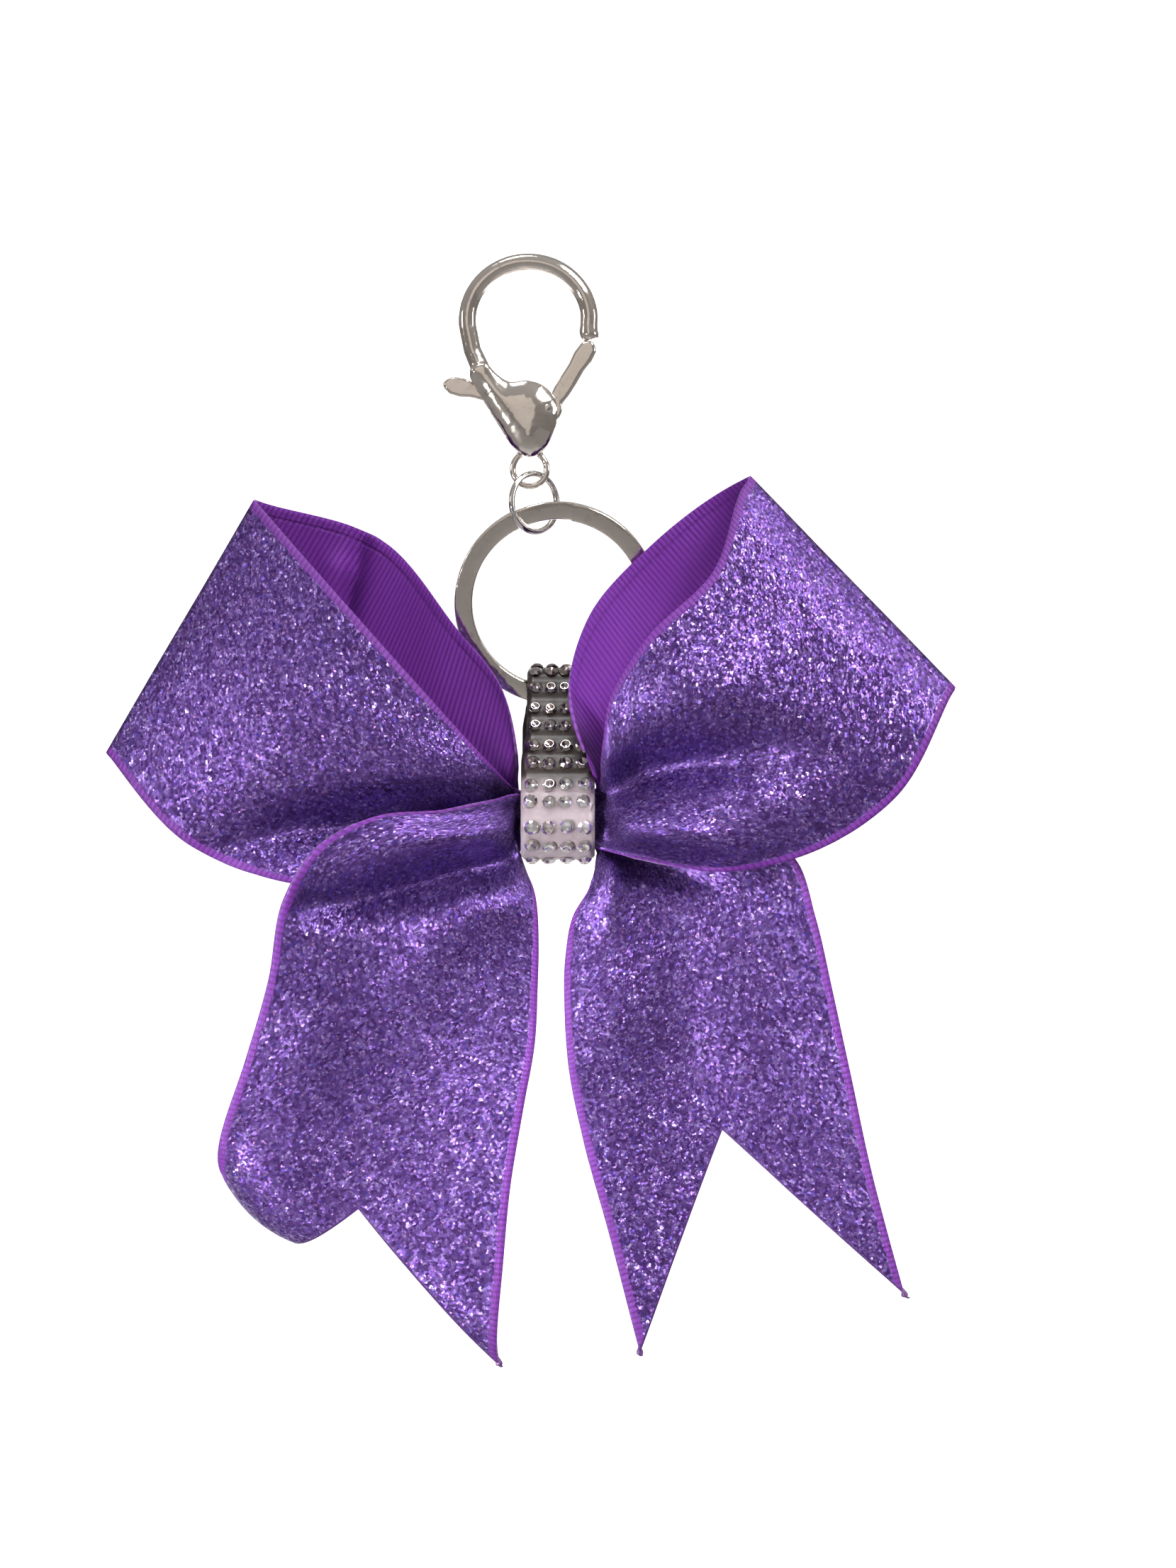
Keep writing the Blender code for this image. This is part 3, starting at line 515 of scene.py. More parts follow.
def cap_ends():
    """Closes the wire that is being bent at its two cut ends."""
    bpy.ops.mesh.select_all(action="DESELECT")
    bpy.ops.mesh.select_non_manifold()
    bpy.ops.mesh.fill_holes(sides=0)


def close_up(angle=40.0):
    """Leaves edit mode with the faces turned outwards and the soft edges shaded smooth."""
    bpy.ops.mesh.select_all(action="SELECT")
    bpy.ops.mesh.remove_doubles(threshold=0.002 * MM)
    bpy.ops.mesh.normals_make_consistent(inside=False)
    bpy.ops.object.mode_set(mode="OBJECT")
    bpy.ops.object.shade_smooth_by_angle(angle=math.radians(angle))


def keep(piece, body, slot, finish, *nodes):
    """The piece is done: it gets its finish, rides on its body and stands for its CAD nodes."""
    piece.data.materials.append(finish)
    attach(piece, body)
    if nodes:
        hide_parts(*nodes)


def apply_all(piece):
    take_up(piece)
    for modifier in list(piece.modifiers):
        bpy.ops.object.modifier_apply(modifier=modifier.name)


def soften(piece, rounds):
    smooth = piece.modifiers.new("soften", "SMOOTH")
    smooth.factor, smooth.iterations = 0.5, rounds


def cast(piece, grain, rounds):
    """Makes the piece one even skin with its sharp edges worn round."""
    remesh = piece.modifiers.new("cast", "REMESH")
    remesh.mode, remesh.voxel_size, remesh.use_smooth_shade = "VOXEL", grain, True
    soften(piece, rounds)
    apply_all(piece)


def copy_of(node, name):
    """A merged copy of a CAD node to work on."""
    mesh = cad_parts[node].data.copy()
    mesh.materials.clear()
    piece = linked(name, mesh)
    take_up(piece)
    bpy.ops.object.mode_set(mode="EDIT")
    bpy.ops.mesh.select_all(action="SELECT")
    bpy.ops.mesh.remove_doubles(threshold=0.001 * MM)
    bpy.ops.object.mode_set(mode="OBJECT")
    return piece


def clamped(share):
    return min(max(share, 0.0), 1.0)


def eased(share):
    """0 up to 0, 1 from 1 on, and a gentle start and end between them."""
    share = clamped(share)
    return share * share * (3 - 2 * share)


# -------- lobster clasp

SLOT_HALF = 1.15 * MM  # the lever's slot, from its middle to its side
NOSE = 7.4 * MM  # the middle of the hook's wire at its nose
CHEEKS_TOP, EYE_FOOT = -12.0 * MM, -25.6 * MM
CROWN_REACH = 3.3 * MM  # in from the outline to where a cheek is at its fullest
GATE_LENGTH, GATE_REACH, GATE_SPREAD = 8.6 * MM, 1.26 * MM, 0.22
TEARDROP = [  # a cheek's outline, in millimetres
    (-8.5, -13.2), (-6.5, -17.8), (-4.3, -21.3), (-2.3, -24.2), (-0.5, -25.1), (1.3, -24.2),
    (2.6, -21.9), (3.2, -19.4), (2.9, -17.2), (1.2, -15.4), (-0.9, -14.8), (-3.2, -15.0),
    (-5.2, -13.7), (-6.4, -12.4),
]


def inside_by(x, z, outline):
    """How far a point is inside a closed outline; 0 outside it."""
    nearest, inside = 1e9, False
    for (ax, az), (bx, bz) in zip(outline, outline[1:] + outline[:1]):
        share = ((x - ax) * (bx - ax) + (z - az) * (bz - az)) / ((bx - ax) ** 2 + (bz - az) ** 2)
        share = clamped(share)
        gap = math.hypot(x - ax - share * (bx - ax), z - az - share * (bz - az))
        nearest = min(nearest, gap)
        if (az > z) != (bz > z) and x < (bx - ax) * (z - az) / (bz - az) + ax:
            inside = not inside
    return nearest if inside else 0.0


def clasp_casting():
    """The cast body: its cheeks crown like a drop, and the front one hides the rivet."""
    piece = copy_of("clasp_body", "clasp_casting")
    bpy.ops.mesh.primitive_cylinder_add(
        vertices=24, radius=1.3 * MM, depth=0.9 * MM, rotation=(math.pi / 2, 0.0, 0.0),
        location=(PIVOT.x, -1.85 * MM, PIVOT.z),
    )
    settle_place()
    piece.select_set(True)
    bpy.context.view_layer.objects.active = piece
    bpy.ops.object.join()
    cast(piece, 0.15 * MM, 7)
    outline = [(x * MM, z * MM) for x, z in TEARDROP]
    for vert in piece.data.vertices:
        depth = abs(vert.co.y)
        if depth < SLOT_HALF or not EYE_FOOT <= vert.co.z <= CHEEKS_TOP:
            continue
        crown = 1 - (1 - min(inside_by(vert.co.x, vert.co.z, outline) / CROWN_REACH, 1.0)) ** 2
        lift = 0.30 + 0.95 * crown
        lift += (1 - lift) * eased((vert.co.z + 16.5 * MM) / (4.0 * MM))
        vert.co.y = math.copysign(SLOT_HALF + (depth - SLOT_HALF) * lift, vert.co.y)
    for vert in piece.data.vertices:  # the hook's nose is rounded off
        past = min((-8.3 * MM - vert.co.z) / (1.3 * MM), 1.0)
        if vert.co.x > 5.5 * MM and past > 0:
            slimmer = math.sqrt(1 - 0.75 * past * past)
            vert.co.x = NOSE + (vert.co.x - NOSE) * slimmer
            vert.co.y *= slimmer
    soften(piece, 6)
    apply_all(piece)
    piece.data.shade_smooth()
    keep(piece, "clasp", "nickel_plate", NICKEL, "clasp_body")


def clasp_gate():
    """The sprung lever, its edges worn round and its tip closed up to the hook's nose."""
    piece = copy_of("clasp_lever", "clasp_gate")
    cast(piece, 0.11 * MM, 12)
    along = Vector((1.4, 0.0, 2.3)).normalized()
    across = Vector((along.z, 0.0, -along.x))
    for vert in piece.data.vertices:
        if vert.co.x > PIVOT.x:
            reach = clamped((vert.co - PIVOT).dot(along) / GATE_LENGTH)
            beside = (vert.co - PIVOT).dot(across)
            vert.co += along * GATE_REACH * reach**2 + across * beside * GATE_SPREAD * reach
    piece.data.shade_smooth()
    keep(piece, "lever", "nickel_plate", NICKEL, "clasp_lever")


def thumb_spring():
    """The coil under the thumb arm, which the arm presses shorter as the gate opens."""
    low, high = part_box("clasp_spring")
    wire, turns, per_turn = 0.16 * MM, 5, 16
    radius = (high.x - low.x) / 2 - wire
    rise = (high.z - low.z - 2 * wire) / (turns * per_turn)
    nothing_selected()
    bpy.ops.mesh.primitive_circle_add(
        vertices=8, radius=wire, rotation=(math.pi / 2, 0.0, 0.0), location=(radius, 0.0, 0.0))
    piece = begin("thumb_spring")
    for _ in range(turns * per_turn):
        bpy.ops.mesh.spin(
            steps=1, angle=2 * math.pi / per_turn, center=(0.0, 0.0, 0.0), axis=(0.0, 0.0, 1.0))
        bpy.ops.transform.translate(value=(0.0, 0.0, rise))
    cap_ends()
    close_up(60.0)
    piece.location = ((low.x + high.x) / 2, (low.y + high.y) / 2, low.z + wire)
    settle_place()
    keep(piece, "clasp", "ring_steel", RING_STEEL, "clasp_spring")
    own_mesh(piece)


# -------- rings


def clockwise(steps, degrees):
    """Bends the wire on round the Y axis, the way a clock's hand goes."""
    bpy.ops.mesh.spin(
        steps=steps, angle=-math.radians(degrees), center=(0.0, 0.0, 0.0), axis=(0.0, 1.0, 0.0))


def key_ring():
    """Two turns of flat wire; the front turn ends beside the top, where the ring steps back."""
    radius, wide, thick, spacing = 12.6 * MM, 2.4 * MM, 0.8 * MM, 0.92 * MM
    tilt, front_end, steps_back = math.radians(12.0), math.radians(80.0), 8
    nothing_selected()
    bpy.ops.mesh.primitive_plane_add(size=1.0, rotation=(math.pi / 2, 0.0, 0.0))
    piece = begin("key_ring")
    bpy.ops.transform.resize(value=(wide, 1.0, thick), center_override=(0.0, 0.0, 0.0))
    bpy.ops.mesh.bevel(offset=0.22 * MM, segments=3, affect="VERTICES")
    bpy.ops.mesh.delete(type="ONLY_FACE")
    bpy.ops.mesh.select_all(action="SELECT")
    shape = bmesh.from_edit_mesh(piece.data)
    across = Matrix(((1, 0, 0), (0, 0, 1), (0, 1, 0)))
    for vert in shape.verts:  # the section stands across the wire, at the front turn's end
        flat = across @ vert.co
        vert.co = Vector((radius + flat.x, flat.y - spacing / 2, 0.0))
        vert.co.rotate(Matrix.Rotation(-front_end, 3, "Y"))
    bmesh.update_edit_mesh(piece.data)
    clockwise(83, 332.0)
    for step in range(steps_back):
        clockwise(1, 3.5)
        back = spacing * (eased((step + 1) / steps_back) - eased(step / steps_back))
        bpy.ops.transform.translate(value=(0.0, back, 0.0))
    clockwise(81, 326.0)
    cap_ends()
    close_up()
    piece.rotation_euler = (tilt, 0.0, 0.0)
    piece.location = KEY_RING_CENTRE
    settle_place()
    keep(piece, "split_ring", "nickel_plate", NICKEL, "split_ring")


def jump_wire():
    """A round wire bent until its two cut ends nearly meet."""
    radius, wire = 3.9 * MM, 0.41 * MM
    nothing_selected()
    bpy.ops.mesh.primitive_circle_add(vertices=16, radius=wire, location=(radius, 0.0, 0.0))
    piece = begin("jump_wire")
    clockwise(88, 356.0)
    cap_ends()
    close_up(60.0)
    piece.rotation_euler = (0.0, math.radians(160.0), math.radians(40.0))
    piece.location = JUMP_CENTRE
    settle_place()
    keep(piece, "jump_ring", "ring_steel", RING_STEEL, "jump_ring")


# -------- rhinestone band

RING_FOOT = KNOT + Vector((-0.2, 9.2, 17.0)) * MM
ROUND_RING, ROUND_KNOT = 2.75 * MM, 4.2 * MM
BAND_WIDTH, BAND_THICKNESS = 9.8 * MM, 1.0 * MM
LAP_LENGTH, LAP_RISE = 8.0 * MM, 1.35 * MM
ROW_COUNT, STONES_ACROSS, STONE_PITCH = 22, 4, 2.3 * MM


def turned(vector, angle):
    return Matrix.Rotation(angle, 2) @ vector


def band_runs():
    """The outward directions of the front and back runs, the turn between them round the knot,
    and the length of a run."""
    across = (RING_FOOT - KNOT).yz
    reach = across.length
    along = across / reach
    lean = (ROUND_KNOT - ROUND_RING) / reach
    rest = math.sqrt(1 - lean * lean)
    front = along * lean + Vector((-along.y, along.x)) * rest
    back = along * lean + Vector((along.y, -along.x)) * rest
    turn = (math.atan2(back.y, back.x) - math.atan2(front.y, front.x)) % (2 * math.pi)
    return front, back, turn, math.sqrt(reach**2 - (ROUND_KNOT - ROUND_RING) ** 2)


FRONT, BACK, KNOT_TURN, RUN = band_runs()


def band_length(offset):
    return ((ROUND_KNOT + offset) * KNOT_TURN + 2 * RUN
            + (ROUND_RING + offset) * (2 * math.pi - KNOT_TURN))


def band_point(distance, offset):
    """A place on the band and its outward direction, from the front run's top downwards."""
    round_knot, round_ring = ROUND_KNOT + offset, ROUND_RING + offset
    arc, ring, knot = round_knot * KNOT_TURN, RING_FOOT.yz, KNOT.yz
    distance %= band_length(offset)
    if distance < RUN:
        top, foot = ring + FRONT * round_ring, knot + FRONT * round_knot
        return top.lerp(foot, distance / RUN), FRONT
    if distance < RUN + arc:
        out = turned(FRONT, (distance - RUN) / round_knot)
        return knot + out * round_knot, out
    if distance < 2 * RUN + arc:
        foot, top = knot + BACK * round_knot, ring + BACK * round_ring
        return foot.lerp(top, (distance - RUN - arc) / RUN), BACK
    out = turned(BACK, (distance - 2 * RUN - arc) / round_ring)
    return ring + out * round_ring, out


def lap_middle():
    return 1.5 * RUN + (ROUND_KNOT + BAND_THICKNESS) * KNOT_TURN


def narrowing(distance, length):
    """The band is squeezed narrower where it goes up to the ring than where it covers the knot."""
    from_top = min(distance, length - distance)
    return 0.86 + 0.14 * eased((from_top - 8 * MM) / (6 * MM))


def band_base():
    """A moulded silicone strip: rounded edges, a cup for each stone and a nick between the rows."""
    around, over = 264, 26
    length = band_length(BAND_THICKNESS)
    pitch, half = length / ROW_COUNT, BAND_WIDTH / 2
    section = [2 * index / (over - 1) - 1 for index in range(over)]
    skins = ([], [])
    for step in range(around):
        share = step / around
        nick = math.cos(math.pi * share * length / pitch) ** 2
        width = narrowing(share * length, length)
        scallop = 1 - 0.045 * nick
        for sideways in section:
            rounded = math.sqrt(max(0.0, 1 - max(0.0, abs(sideways) - 0.88) ** 2 / 0.0144))
            column = abs(math.sin(math.pi * sideways * 2.13))
            lift = 0.12 * (1 - nick) * (0.4 + 0.6 * column) - 0.132 * nick
            outer = BAND_THICKNESS * (0.55 + 0.45 * rounded) + min(lift, 0.0) * MM
            inner = BAND_THICKNESS * 0.25 * (1 - rounded)
            for skin, rise, trim in zip(skins, (outer, inner), (scallop, 1.0)):
                place, _ = band_point(share * band_length(rise), rise)
                skin.append((KNOT.x + sideways * half * width * trim, place.x, place.y))
    faces = []
    inside = around * over  # the first point of the inner skin
    for step in range(around):
        following = (step + 1) % around
        for index in range(over - 1):
            a, b = step * over + index, following * over + index
            c, d = inside + a, inside + b
            faces += [(a, b, b + 1, a + 1), (c, c + 1, d + 1, d)]
        for index, flip in ((0, False), (over - 1, True)):
            a, b = step * over + index, following * over + index
            c, d = inside + a, inside + b
            faces.append((a, b, d, c) if flip else (a, c, d, b))
    mesh = bpy.data.meshes.new("silicone_band")
    mesh.from_pydata(skins[0] + skins[1], [], faces)
    piece = linked("silicone_band", mesh)
    take_up(piece)
    bpy.ops.object.mode_set(mode="EDIT")
    close_up(50.0)
    keep(piece, "bow", "band_silicone", SILICONE, "band_base")


def on_band(distance, rise, sideways=0.0):
    """The matrix that sets something flat on the band's outside."""
    place, out = band_point(distance, BAND_THICKNESS)
    place = place + out * rise
    outward, right = Vector((0.0, out.x, out.y)), Vector((1.0, 0.0, 0.0))
    turn = Matrix((right, outward.cross(right), outward)).transposed().to_4x4()
    return Matrix.Translation((KNOT.x + sideways, place.x, place.y)) @ turn


def band_end():
    """The band's other end, lapped over the back run: a flat tongue with its edges rounded."""
    nothing_selected()
    bpy.ops.mesh.primitive_cube_add(size=1.0)
    piece = begin("band_end")
    bpy.ops.transform.resize(
        value=(BAND_WIDTH, LAP_LENGTH, BAND_THICKNESS), center_override=(0.0, 0.0, 0.0))
    upright = BAND_THICKNESS / 2
    pick(piece, lambda edge: abs(edge.verts[0].co.z - edge.verts[1].co.z) > upright, "edges")
    bpy.ops.mesh.bevel(offset=1.3 * MM, segments=6)
    pick(piece, lambda face: face.normal.z > 0.9)
    bpy.ops.mesh.inset(thickness=0.35 * MM)
    bpy.ops.transform.translate(value=(0.0, 0.0, 0.12 * MM))
    close_up(50.0)
    rise = LAP_RISE - BAND_THICKNESS / 2 - 0.03 * MM
    piece.data.transform(on_band(lap_middle(), rise))
    keep(piece, "bow", "band_silicone", SILICONE, "band_lap")


def cut_stone():
    """One rhinestone: girdle, crown and a table through which the foiled point shows."""
    nothing_selected()
    bpy.ops.mesh.primitive_circle_add(vertices=10, radius=1.0 * MM, fill_type="NGON")
    stone = begin("cut_stone")
    bpy.ops.mesh.extrude_region_move(TRANSFORM_OT_translate={"value": (0.0, 0.0, 0.22 * MM)})
    bpy.ops.mesh.extrude_region_move(TRANSFORM_OT_translate={"value": (0.0, 0.0, 0.34 * MM)})
    bpy.ops.transform.resize(value=(0.66, 0.66, 1.0), center_override=(0.0, 0.0, 0.0))
    bpy.ops.mesh.inset(thickness=0.05 * MM)
    bpy.ops.mesh.poke(offset=-0.30 * MM)
    bpy.ops.mesh.select_all(action="SELECT")
    bpy.ops.mesh.normals_make_consistent(inside=False)
    bpy.ops.object.mode_set(mode="OBJECT")
    return stone


def stone_rows():
    """Four stones to a row, each pressed in a little askew."""
    stone = cut_stone()
    length, made = band_length(BAND_THICKNESS), 0
    for number in range(ROW_COUNT):
        distance = length / ROW_COUNT * (number + 0.5)
        away = abs(distance - lap_middle())
        if LAP_LENGTH / 2 - 1.4 * MM < away < LAP_LENGTH / 2 + 1.0 * MM:
            continue
        made += 1
        rise = (LAP_RISE if away < LAP_LENGTH / 2 else 0.05 * MM) - 0.02 * MM
        # rows lie in pairs, closer to one neighbour than to the other
        along = distance + (0.20 if number % 2 else -0.20) * MM
        squeeze = narrowing(distance, length)
        row = bmesh.new()
        for column in range(STONES_ACROSS):
            across = STONE_PITCH * (column - (STONES_ACROSS - 1) / 2) * squeeze
            across += chance.uniform(-0.14, 0.14) * MM
            askew = Matrix.Rotation(chance.uniform(-0.12, 0.12), 4, "X")
            askew @= Matrix.Rotation(chance.uniform(-0.12, 0.12), 4, "Y")
            askew @= Matrix.Rotation(chance.uniform(0, 1), 4, "Z")
            seat = on_band(along + chance.uniform(-0.15, 0.15) * MM, rise, across)
            copy = stone.data.copy()
            size = Matrix.Scale(0.96 if squeeze > 0.9 else 0.88, 4)
            copy.transform(seat @ askew @ size)
            row.from_mesh(copy)
            bpy.data.meshes.remove(copy)
        mesh = bpy.data.meshes.new(f"stones_{made:02d}")
        row.to_mesh(mesh)
        row.free()
        keep(linked(mesh.name, mesh), "bow", "crystal", CRYSTAL, f"stone_row_{made:02d}")
    bpy.data.objects.remove(stone)


def pleat_thread():
    """The thread wound tight round the pleats, under the band."""
    data = bpy.data.curves.new("pleat_thread", "CURVE")
    data.dimensions, data.bevel_depth, data.bevel_resolution = "3D", 0.21 * MM, 2
    data.use_fill_caps = True
    spline = data.splines.new("POLY")
    turns, per_turn = 7, 36
    spline.points.add(turns * per_turn)
    for index, point in enumerate(spline.points):
        angle = 2 * math.pi * index / per_turn
        across = (index / (turns * per_turn) - 0.5) * 2.56 * MM
        out = turned(Vector((3.58 * MM, 0.0)), angle)
        point.co = (KNOT.x + across, KNOT.y + out.x, KNOT.z + out.y, 1.0)
    take_up(linked("pleat_thread", data))
    bpy.ops.object.convert(target="MESH")
    piece = bpy.context.object
    piece.data.shade_smooth()
    keep(piece, "bow", "tie_thread", THREAD, "knot_tie")


# -------- ribbon

# Each station is (one edge, the other edge, how far the cloth bows forward between them), in
# millimetres from the knot's middle.
BESIDE = 5.25  # where the cloth comes out beside the band
LEFT_LOOP = [
    ((-0.15, 1.6, 2.1), (-0.15, 1.6, -2.1), 0.0),
    ((-BESIDE, 1.9, 3.7), (-BESIDE, 1.9, -3.6), 0.0),
    ((-5.5, 2.4, 8.2), (-7.4, 2.4, -5.4), 0.0),
    ((-7.6, 3.0, 17.8), (-13.5, 2.6, -7.9), -0.4),
    ((-13.6, 3.0, 25.8), (-25.1, 2.2, -9.2), -0.8),
    ((-23.2, 2.2, 37.3), (-42.8, 1.2, 4.2), -0.5),
    ((-38.4, -2.0, 42.0), (-58.0, -2.0, 9.0), 0.0),
    ((-40.0, -3.3, 42.4), (-59.5, -3.3, 9.1), 0.0),
    ((-38.8, -4.6, 41.0), (-58.5, -4.6, 7.9), 0.0),
    ((-28.4, -9.0, 29.3), (-48.1, -7.0, -3.2), 1.4),
    ((-16.9, -8.6, 16.4), (-34.1, -6.4, -8.2), 1.2),
    ((-8.8, -4.8, 7.4), (-15.1, -3.6, -6.7), 0.2),
    ((-BESIDE, 0.0, 4.1), (-BESIDE, 0.0, -4.0), 0.0),
    ((-0.15, 0.0, 2.5), (-0.15, 0.0, -2.5), 0.0),
]
RIGHT_LOOP = [
    ((0.15, 1.6, 2.1), (0.15, 1.6, -2.1), 0.0),
    ((BESIDE, 0.9, 4.4), (BESIDE, 1.9, -3.6), 0.0),
    ((4.6, -3.0, 7.0), (8.2, 1.6, -5.2), 0.0),
    ((2.9, -3.4, 10.8), (12.9, 1.6, -7.0), 0.0),
    ((1.5, 0.2, 17.8), (18.9, 1.8, -7.2), 0.0),
    ((4.1, 2.0, 27.3), (26.9, 2.0, -3.7), -0.4),
    ((12.4, 2.0, 36.8), (37.9, 1.2, 8.3), -0.4),
    ((23.8, -2.0, 44.9), (50.7, -2.0, 17.3), 0.0),
    ((25.3, -3.3, 45.5), (52.4, -3.3, 17.6), 0.0),
    ((24.4, -4.6, 44.0), (51.6, -4.6, 16.2), 0.0),
    ((20.4, -8.4, 32.8), (44.4, -7.6, 3.3), 1.2),
    ((11.5, -10.4, 23.7), (33.4, -8.6, -4.0), 1.6),
    ((6.9, -9.2, 16.0), (21.4, -8.0, -6.5), 0.8),
    ((5.9, -7.2, 8.5), (10.8, -7.0, -5.0), 0.2),
    ((BESIDE, -2.0, 4.4), (BESIDE, -2.0, -3.6), 0.0),
    ((0.15, -1.6, 2.1), (0.15, -1.6, -2.1), 0.0),
]
LEFT_TAIL = [
    ((-0.15, -1.6, 2.1), (-0.15, -1.6, -2.1), 0.0),
    ((-BESIDE, -2.0, 3.6), (-BESIDE, -2.0, -3.7), 0.0),
    ((-8.5, -6.2, 2.9), (-4.5, -3.4, -6.3), 0.0),
    ((-15.0, -9.6, 1.6), (-3.2, -5.4, -9.3), 0.2),
    ((-24.1, -12.4, 0.6), (-2.7, -6.6, -12.2), 0.2),
    ((-31.1, -13.0, -3.2), (-2.5, -6.6, -16.6), 0.0),
    ((-35.6, -11.5, -10.2), (-2.6, -6.0, -21.7), -0.6),
    ((-37.8, -8.5, -20.7), (-3.0, -5.2, -29.2), -1.2),
    ((-41.1, -7.0, -31.7), (-4.4, -5.2, -37.2), -1.5),
    ((-44.4, -6.8, -41.7), (-6.1, -5.8, -47.2), -1.5),
    ((-46.4, -7.4, -54.2), (-7.3, -7.0, -59.7), -1.2),
    ((-47.6, -8.4, -66.2), (-8.5, -8.6, -72.5), -0.8),
]
RIGHT_TAIL = [
    ((0.15, 0.0, 2.5), (0.15, 0.0, -2.5), 0.0),
    ((BESIDE, -0.1, 2.4), (BESIDE, -0.4, -4.0), 0.0),
    ((8.6, -2.3, 0.8), (4.9, -1.6, -6.6), 0.0),
    ((14.9, -3.2, 1.2), (4.3, -2.2, -8.8), 0.0),
    ((24.9, -2.8, -0.4), (2.0, -3.0, -12.6), 0.0),
    ((31.4, -2.8, -4.9), (1.0, -3.6, -17.9), -0.2),
    ((34.1, -3.0, -12.7), (0.9, -4.2, -24.7), -0.8),
    ((36.2, -3.0, -21.7), (1.4, -4.4, -32.2), -1.4),
    ((38.7, -2.6, -33.2), (3.3, -4.6, -41.7), -1.8),
    ((41.5, -3.0, -46.2), (6.5, -5.6, -53.2), -1.8),
    ((45.8, -3.6, -62.5), (10.8, -7.0, -69.6), -1.4),
]
# Pressed and pulled folds: where each runs, as (station, share of the width), its depth at each
# of those places (back is positive) and how far it spreads to the sides, all in millimetres.
LEFT_LOOP_FOLDS = [
    ([(12.5, 0.24), (11.8, 0.34), (11.0, 0.46), (10.2, 0.62), (9.6, 0.80), (9.2, 0.97)],
     [1.0, 3.8, 6.2, 6.0, 3.6, 1.2], 3.3),
    ([(11.9, 0.60), (11.1, 0.70), (10.3, 0.84)], [-1.0, -2.0, -1.2], 2.2),
    ([(12.2, 0.88), (11.6, 0.93), (11.0, 0.98)], [1.0, 1.6, 0.8], 1.4),
    ([(11.8, 0.06), (10.6, 0.20), (9.4, 0.34)], [-0.4, -1.3, -0.5], 4.6),
    ([(5.2, 0.0), (5.0, 0.25), (4.8, 0.55)], [1.8, 2.2, 0.8], 1.5),
    ([(5.2, 0.16), (5.2, 0.40)], [-1.0, -0.6], 2.0),
]
RIGHT_LOOP_FOLDS = [
    ([(13.8, 0.30), (13.0, 0.35), (12.3, 0.38), (11.6, 0.46), (10.9, 0.58), (10.4, 0.70)],
     [1.0, 4.4, 6.8, 6.4, 4.0, 0.8], 4.0),
    ([(13.7, 0.60), (13.0, 0.66), (12.2, 0.78), (11.6, 0.92)], [-1.0, -2.6, -3.0, -1.4], 2.4),
    ([(13.6, 0.88), (12.8, 0.94), (12.2, 0.99)], [1.2, 2.6, 1.6], 1.7),
    ([(13.5, 0.10), (12.8, 0.14), (12.0, 0.24)], [-0.6, -1.6, -0.6], 2.0),
    ([(12.2, 0.10), (11.2, 0.22), (10.0, 0.36)], [-0.4, -1.4, -0.8], 5.0),
    ([(13.3, 0.99), (12.6, 1.0), (11.8, 1.0), (11.0, 1.0), (10.4, 1.0)],
     [0.8, 2.6, 3.6, 3.0, 1.0], 3.8),
    ([(2.2, 0.10), (3.2, 0.12), (4.4, 0.10)], [0.4, 1.0, 0.3], 2.4),
]
LEFT_TAIL_FOLDS = [
    ([(1.4, 0.86), (2.2, 0.74), (3.0, 0.64), (3.9, 0.56), (4.8, 0.44), (5.5, 0.28), (5.9, 0.10)],
     [1.0, 3.4, 5.4, 6.2, 6.2, 5.4, 3.0], 3.1),
    ([(1.5, 0.44), (2.6, 0.36), (3.8, 0.28), (4.8, 0.18)], [-0.6, -1.8, -2.0, -1.0], 2.6),
    ([(1.6, 0.12), (2.6, 0.10), (3.6, 0.08)], [0.6, 1.2, 0.6], 1.6),
    ([(3.4, 0.86), (4.6, 0.74), (5.8, 0.60), (6.6, 0.50)], [-0.4, -1.2, -1.2, -0.4], 3.6),
    ([(6.6, 0.16), (7.8, 0.20), (9.0, 0.22)], [-0.4, -1.3, -0.4], 6.0),
]
RIGHT_TAIL_FOLDS = [
    ([(1.5, 0.60), (2.6, 0.52), (3.6, 0.46), (4.6, 0.38), (5.4, 0.30)],
     [1.0, 3.0, 3.2, 1.6, 0.0], 3.0),
    ([(1.8, 0.86), (3.2, 0.78), (4.6, 0.80)], [-0.8, -2.0, -0.8], 2.4),
    ([(1.8, 0.26), (3.2, 0.20), (4.4, 0.16)], [-0.6, -1.4, -0.6], 2.2),
    ([(5.0, 0.80), (6.6, 0.84), (8.4, 0.86)], [-0.4, -1.3, -0.4], 5.0),
    ([(5.2, 0.56), (7.0, 0.56), (8.6, 0.58)], [0.4, 1.2, 0.4], 4.4),
]
CURL_DIRECTION = np.array((-0.57, 0.0, -0.82)) / math.hypot(0.57, 0.82)
CURL_START, CURL_RADIUS = 56.5, 7.5
CURL_ROUNDING, CURL_HALF_WIDTH = 2.4, 8.8  # its fold line bulges, and how far to each side
CLOTH_THICKNESS = 0.5 * MM
NO_CUT = 99.0
STEPS = 24  # from one station to the next
LINES_ACROSS = 64
LINE_SPACING = 0.6


